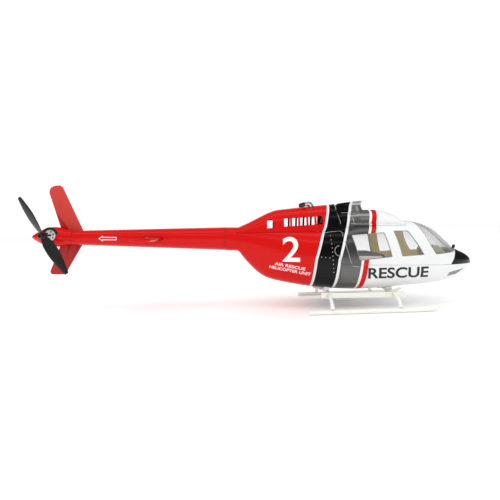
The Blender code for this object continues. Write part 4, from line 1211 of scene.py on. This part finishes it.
skins = {
    "airframe": [bpy.data.objects[name] for name in ("rearBody", "engineCowl", "bellyPan", "tailBoom")],
    "cabin": [bpy.data.objects[name] for name in ("cabinShell", "roofFairing", "mastCollar")],
}
panels = {
    "beadRadius": 0.24,
    "beads": (
        # name, body, paint, points along the side as X and Z
        ("doorCornerBead", "cabin", "seamHighlight", ((-16.6, 8.4), (-14.6, 8.4), (-12.9, 6.6), (-13.4, 3.4))),
        ("doorEdgeBead", "cabin", "seamHighlight", ((-12.4, -0.9), (-7.4, -20.5), (-6.4, -23.6))),
        ("doorSillBead", "airframe", "seamHighlight", ((-5.2, -25.4), (-3.9, -26.5), (-0.5, -26.9),
                                                   (1.4, -26.9))),
        ("sideSeamBead", "airframe", "seamHighlight", ((-32.1, 6.6), (-25.0, 7.7), (-18.4, 8.3))),
        ("ventPanelBead", "cabin", "seamHighlight", ((-4.1, 24.3), (-1.4, 23.8), (-0.4, 19.9), (-0.2, 15.9))),
        ("cowlSweepBead", "cabin", "seamHighlight", ((-16.4, 31.2), (-16.3, 27.8), (-15.6, 23.2), (-14.4, 18.6),
                                                 (-14.0, 15.9))),
        ("scoopBaseBead", "cabin", "seamHighlight", ((-12.2, 27.7), (-3.2, 27.9))),
        # a black bead as painted shade in the groove under the roof fairing, with a light grey painted highlight
        # on the fairing's lip above it
        ("roofSeamBead", "cabin", "black", ((-5.0, 13.0), (16.6, 13.0))),
        ("roofSeamLightBead", "cabin", "seamHighlight", ((-4.0, 16.4), (15.4, 16.4))),
    ),
    "seal": {"from": -15.0, "to": 54.0, "z": 15.3, "inset": -1.5, "radius": 1.0},
    "filler": {"centre": (-17.4, -11.1), "radius": 5.2, "arc": (97.0, 263.0)},
    "rivetPitch": 3.7, "rivetRadius": 0.5, "rivetFlat": 0.45,
    "rows": (
        # name, body, paint, from, to
        ("frameRivets", "airframe", "seamHighlight", (-25.8, 3.8), (-23.6, -32.5)),
        ("sideRivetsDark", "airframe", "seamHighlight", (-35.8, -17.4), (-27.6, -18.0)),
        ("sideRivetsRed", "airframe", "red", (-55.4, -15.0), (-43.0, -16.8)),
        ("cowlEdgeRivets", "airframe", "livery", (-118.0, 8.6), (-21.0, 10.4)),
        ("sillRivets", "airframe", "livery", (-130.0, 3.2), (-47.0, 4.2)),
        ("tailConeRivets", "airframe", "red", (-92.8, 3.4), (-92.4, -9.0)),
        ("boomJointRivets", "airframe", "red", (-131.8, 5.0), (-131.8, -6.0)),
        ("pillarRivets", "cabin", "livery", (60.3, 10.0), (72.6, -12.4)),
        ("roofRivets", "cabin", "livery", (0.0, 17.2), (48.0, 17.2)),
    ),
}


def skinTree(body):
    points, faces = [], []
    for piece in skins[body]:
        start = len(points)
        points += [vertex.co.copy() for vertex in piece.data.vertices]
        faces += [tuple(start + k for k in face.vertices) for face in piece.data.polygons]
    return BVHTree.FromPolygons(points, faces)


skinTrees = {body: skinTree(body) for body in skins}
across = (tilt @ Vector((0, 1, 0, 0))).to_3d()


def onSkin(body, x, z, side, lift=0.0):
    # the outside of the shell straight in from the side, and its outward direction
    start = drawing @ Vector((x, side * 120.0, z))
    hit, normal, _, _ = skinTrees[body].ray_cast(start, across * -side)
    if hit is None:
        return None, None
    if normal.dot(across) * side < 0:
        normal = -normal
    return hit + normal * lift * mm, normal


def densePath(points, step=1.0):
    path = []
    for a, b in zip(points, points[1:]):
        a, b = Vector(a), Vector(b)
        count = max(int((b - a).length / step), 1)
        path += [a.lerp(b, k / count) for k in range(count)]
    return path + [Vector(points[-1])]


def makeBead(name, body, paint, points, side):
    back = drawing.inverted()
    run = []
    for x, z in densePath(points):
        spot, _ = onSkin(body, x, z, side)
        if spot is not None:
            run.append(back @ spot)
    bead = tube(name + ("Right" if side < 0 else "Left"), run, panels["beadRadius"], 12)
    finishPiece(soften(bead, 60), body, "grey_metallic", paints[paint])


def makeRoofSeal(side):
    # dark strip behind the gap between cabin roof and fairing
    seal = panels["seal"]
    back = drawing.inverted()
    run = []
    for x in range(int(seal["from"]), int(seal["to"]), 3):
        spot, _ = onSkin("cabin", x, seal["z"] - 1.6, side, seal["inset"])
        if spot is not None:
            inside = back @ spot
            run.append((inside.x, inside.y, seal["z"]))
    strip = tube("roofSeal" + ("Right" if side < 0 else "Left"), run, seal["radius"], 16)
    finishPiece(soften(strip, 60), "cabin", "grey_metallic", paints["livery"])


def makeRivetRow(name, body, paint, start, end, side):
    start, end = Vector(start), Vector(end)
    count = int((end - start).length / panels["rivetPitch"]) + 1
    heads = []
    for k in range(count):
        x, z = start.lerp(end, k / max(count - 1, 1))
        spot, normal = onSkin(body, x, z, side)
        if spot is None:
            continue
        bpy.ops.object.select_all(action="DESELECT")
        bpy.ops.mesh.primitive_uv_sphere_add(segments=10, ring_count=6, radius=panels["rivetRadius"] * mm,
                                             location=spot,
                                             rotation=normal.to_track_quat("Z", "Y").to_euler())
        head = bpy.context.object
        head.scale = (1, 1, panels["rivetFlat"])
        bpy.ops.object.transform_apply(location=True, rotation=True, scale=True)
        heads.append(head)
    row = joined(name + ("Right" if side < 0 else "Left"), heads)
    finishPiece(soften(row, 60), body, "grey_metallic" if paint == "seamHighlight" else "red_gloss",
                paints[paint])


def makeFillerRing(side):
    ring = panels["filler"]
    low, high = ring["arc"]
    arc = []
    for k in range(25):
        angle = math.radians(low + (high - low) * k / 24)
        arc.append((ring["centre"][0] + ring["radius"] * math.cos(angle),
                    ring["centre"][1] + ring["radius"] * math.sin(angle)))
    makeBead("fillerCapBead", "airframe", "seamHighlight", arc, side)


def makeCowlLip():
    # rolled front edge of the cowl, where the cabin's fairing butts up to it; its light grey is a painted
    # highlight along the joint
    x = shell["splitX"] - 0.75
    base = straight(cowl["seam"], x) + 0.6
    ring = archRing(x, base, bodyHalfWidth(x, base), smooth(cowl["top"], x), 0.05, 0.0)[1:-1]
    lip = tube("cowlLip", ring, 0.42, 14)
    finishPiece(soften(lip, 60), "airframe", "grey_metallic", paints["seamHighlight"])


def makePanelLines():
    makeCowlLip()
    for side in (-1, 1):
        makeFillerRing(side)
        makeRoofSeal(side)
        for name, body, paint, points in panels["beads"]:
            makeBead(name, body, paint, points, side)
        for name, body, paint, start, end in panels["rows"]:
            makeRivetRow(name, body, paint, start, end, side)


markings = {
    "lift": 0.05, "thickness": 0.05, "grid": 1.3,
    "texts": (
        # name, words, body, slot, paint, centre, capital height, width, turn, boldness
        ("fleetNumber", "2", "airframe", "white_gloss", "whiteMark", (-65.7, -10.0), 25.2, 17.5, 0.0, 0.012),
        ("unitLineUpper", "AIR RESCUE", "airframe", "white_gloss", "whiteMark",
         (-67.0, -27.3), 3.1, 31.0, -9.5, 0.012),
        ("unitLineLower", "HELICOPTER UNIT", "airframe", "white_gloss", "whiteMark",
         (-67.0, -31.7), 3.1, 42.0, -9.5, 0.012),
        ("sideLettering", "RESCUE", "airframe", "black_gloss", "blackMark",
         (40.4, -32.6), 11.0, 60.5, 1.5, 0.024),
    ),
    "arrow": {"centre": (-260.0, 0.4), "length": 19.6, "head": (4.6, 6.0), "shaft": 3.3, "line": 0.75},
}


def wrapped(flat, name, centre, turn, side, body, slotName, paint):
    # flat is drawn in millimetres round its own middle; it is cut to a grid and laid on the shell
    activate(flat)
    bpy.ops.object.mode_set(mode="EDIT")
    low = [min(v.co[i] for v in flat.data.vertices) for i in (0, 1)]
    high = [max(v.co[i] for v in flat.data.vertices) for i in (0, 1)]
    for axis in (0, 1):
        count = int((high[axis] - low[axis]) / markings["grid"])
        for k in range(1, count + 1):
            spot = [0.0, 0.0, 0.0]
            spot[axis] = low[axis] + (high[axis] - low[axis]) * k / (count + 1)
            direction = [0.0, 0.0, 0.0]
            direction[axis] = 1.0
            bpy.ops.mesh.select_all(action="SELECT")
            bpy.ops.mesh.bisect(plane_co=spot, plane_no=direction)
    bpy.ops.mesh.select_all(action="SELECT")
    bpy.ops.mesh.quads_convert_to_tris()
    bpy.ops.object.mode_set(mode="OBJECT")
    angle = math.radians(turn) * -side
    for vertex in flat.data.vertices:
        u, v = vertex.co.x, vertex.co.y
        x = centre[0] - side * (u * math.cos(angle) - v * math.sin(angle))
        z = centre[1] + u * math.sin(angle) + v * math.cos(angle)
        vertex.co = onSkin(body, x, z, side, markings["lift"])[0]
    flat.name = name + ("Right" if side < 0 else "Left")
    flat.data.update()
    outward = across * side
    if sum((face.normal.dot(outward) * face.area for face in flat.data.polygons)) < 0:
        flat.data.flip_normals()
    addModifier(flat, "SOLIDIFY", thickness=markings["thickness"] * mm, offset=1.0)
    finishPiece(soften(flat, 40), body, slotName, paint)


def flatText(words, height, width, boldness):
    data = bpy.data.curves.new("words", "FONT")
    data.body = words
    data.align_x = "CENTER"
    data.offset = boldness
    data.resolution_u = 6
    made = bpy.data.objects.new("words", data)
    bpy.context.scene.collection.objects.link(made)
    activate(made)
    bpy.ops.object.convert(target="MESH")
    made = bpy.context.object
    low = [min(v.co[i] for v in made.data.vertices) for i in (0, 1)]
    high = [max(v.co[i] for v in made.data.vertices) for i in (0, 1)]
    middle = Vector(((low[0] + high[0]) / 2, (low[1] + high[1]) / 2, 0))
    made.data.transform(Matrix.Diagonal((width / (high[0] - low[0]), height / (high[1] - low[1]), 1, 1))
                        @ Matrix.Translation(-middle))
    return made


def flatArrow():
    arrow = markings["arrow"]
    half, neck = arrow["length"] / 2, arrow["head"][0]
    tall, shaft = arrow["head"][1] / 2, arrow["shaft"] / 2
    outer = [(-half, 0), (-half + neck, tall), (-half + neck, shaft), (half, shaft), (half, -shaft),
             (-half + neck, -shaft), (-half + neck, -tall)]
    data = bpy.data.curves.new("arrow", "CURVE")
    data.dimensions = "2D"
    data.fill_mode = "BOTH"
    for outline in (outer, insetOutline(outer, arrow["line"])):
        spline = data.splines.new("POLY")
        spline.points.add(len(outline) - 1)
        for point, (u, v) in zip(spline.points, outline):
            point.co = (u, v, 0, 1)
        spline.use_cyclic_u = True
    made = bpy.data.objects.new("arrow", data)
    bpy.context.scene.collection.objects.link(made)
    activate(made)
    bpy.ops.object.convert(target="MESH")
    return bpy.context.object


def makeMarkings():
    for side in (-1, 1):
        for name, words, body, slotName, paint, centre, height, width, turn, boldness in markings["texts"]:
            wrapped(flatText(words, height, width, boldness), name, centre, turn, side, body, slotName,
                    paints[paint])
        arrow = flatArrow()
        if side > 0:
            arrow.data.transform(Matrix.Scale(-1, 4, (1, 0, 0)))
        wrapped(arrow, "tailArrow", markings["arrow"]["centre"], 0.0, side, "airframe", "white_gloss",
                paints["whiteMark"])


makePanelLines()
makeMarkings()
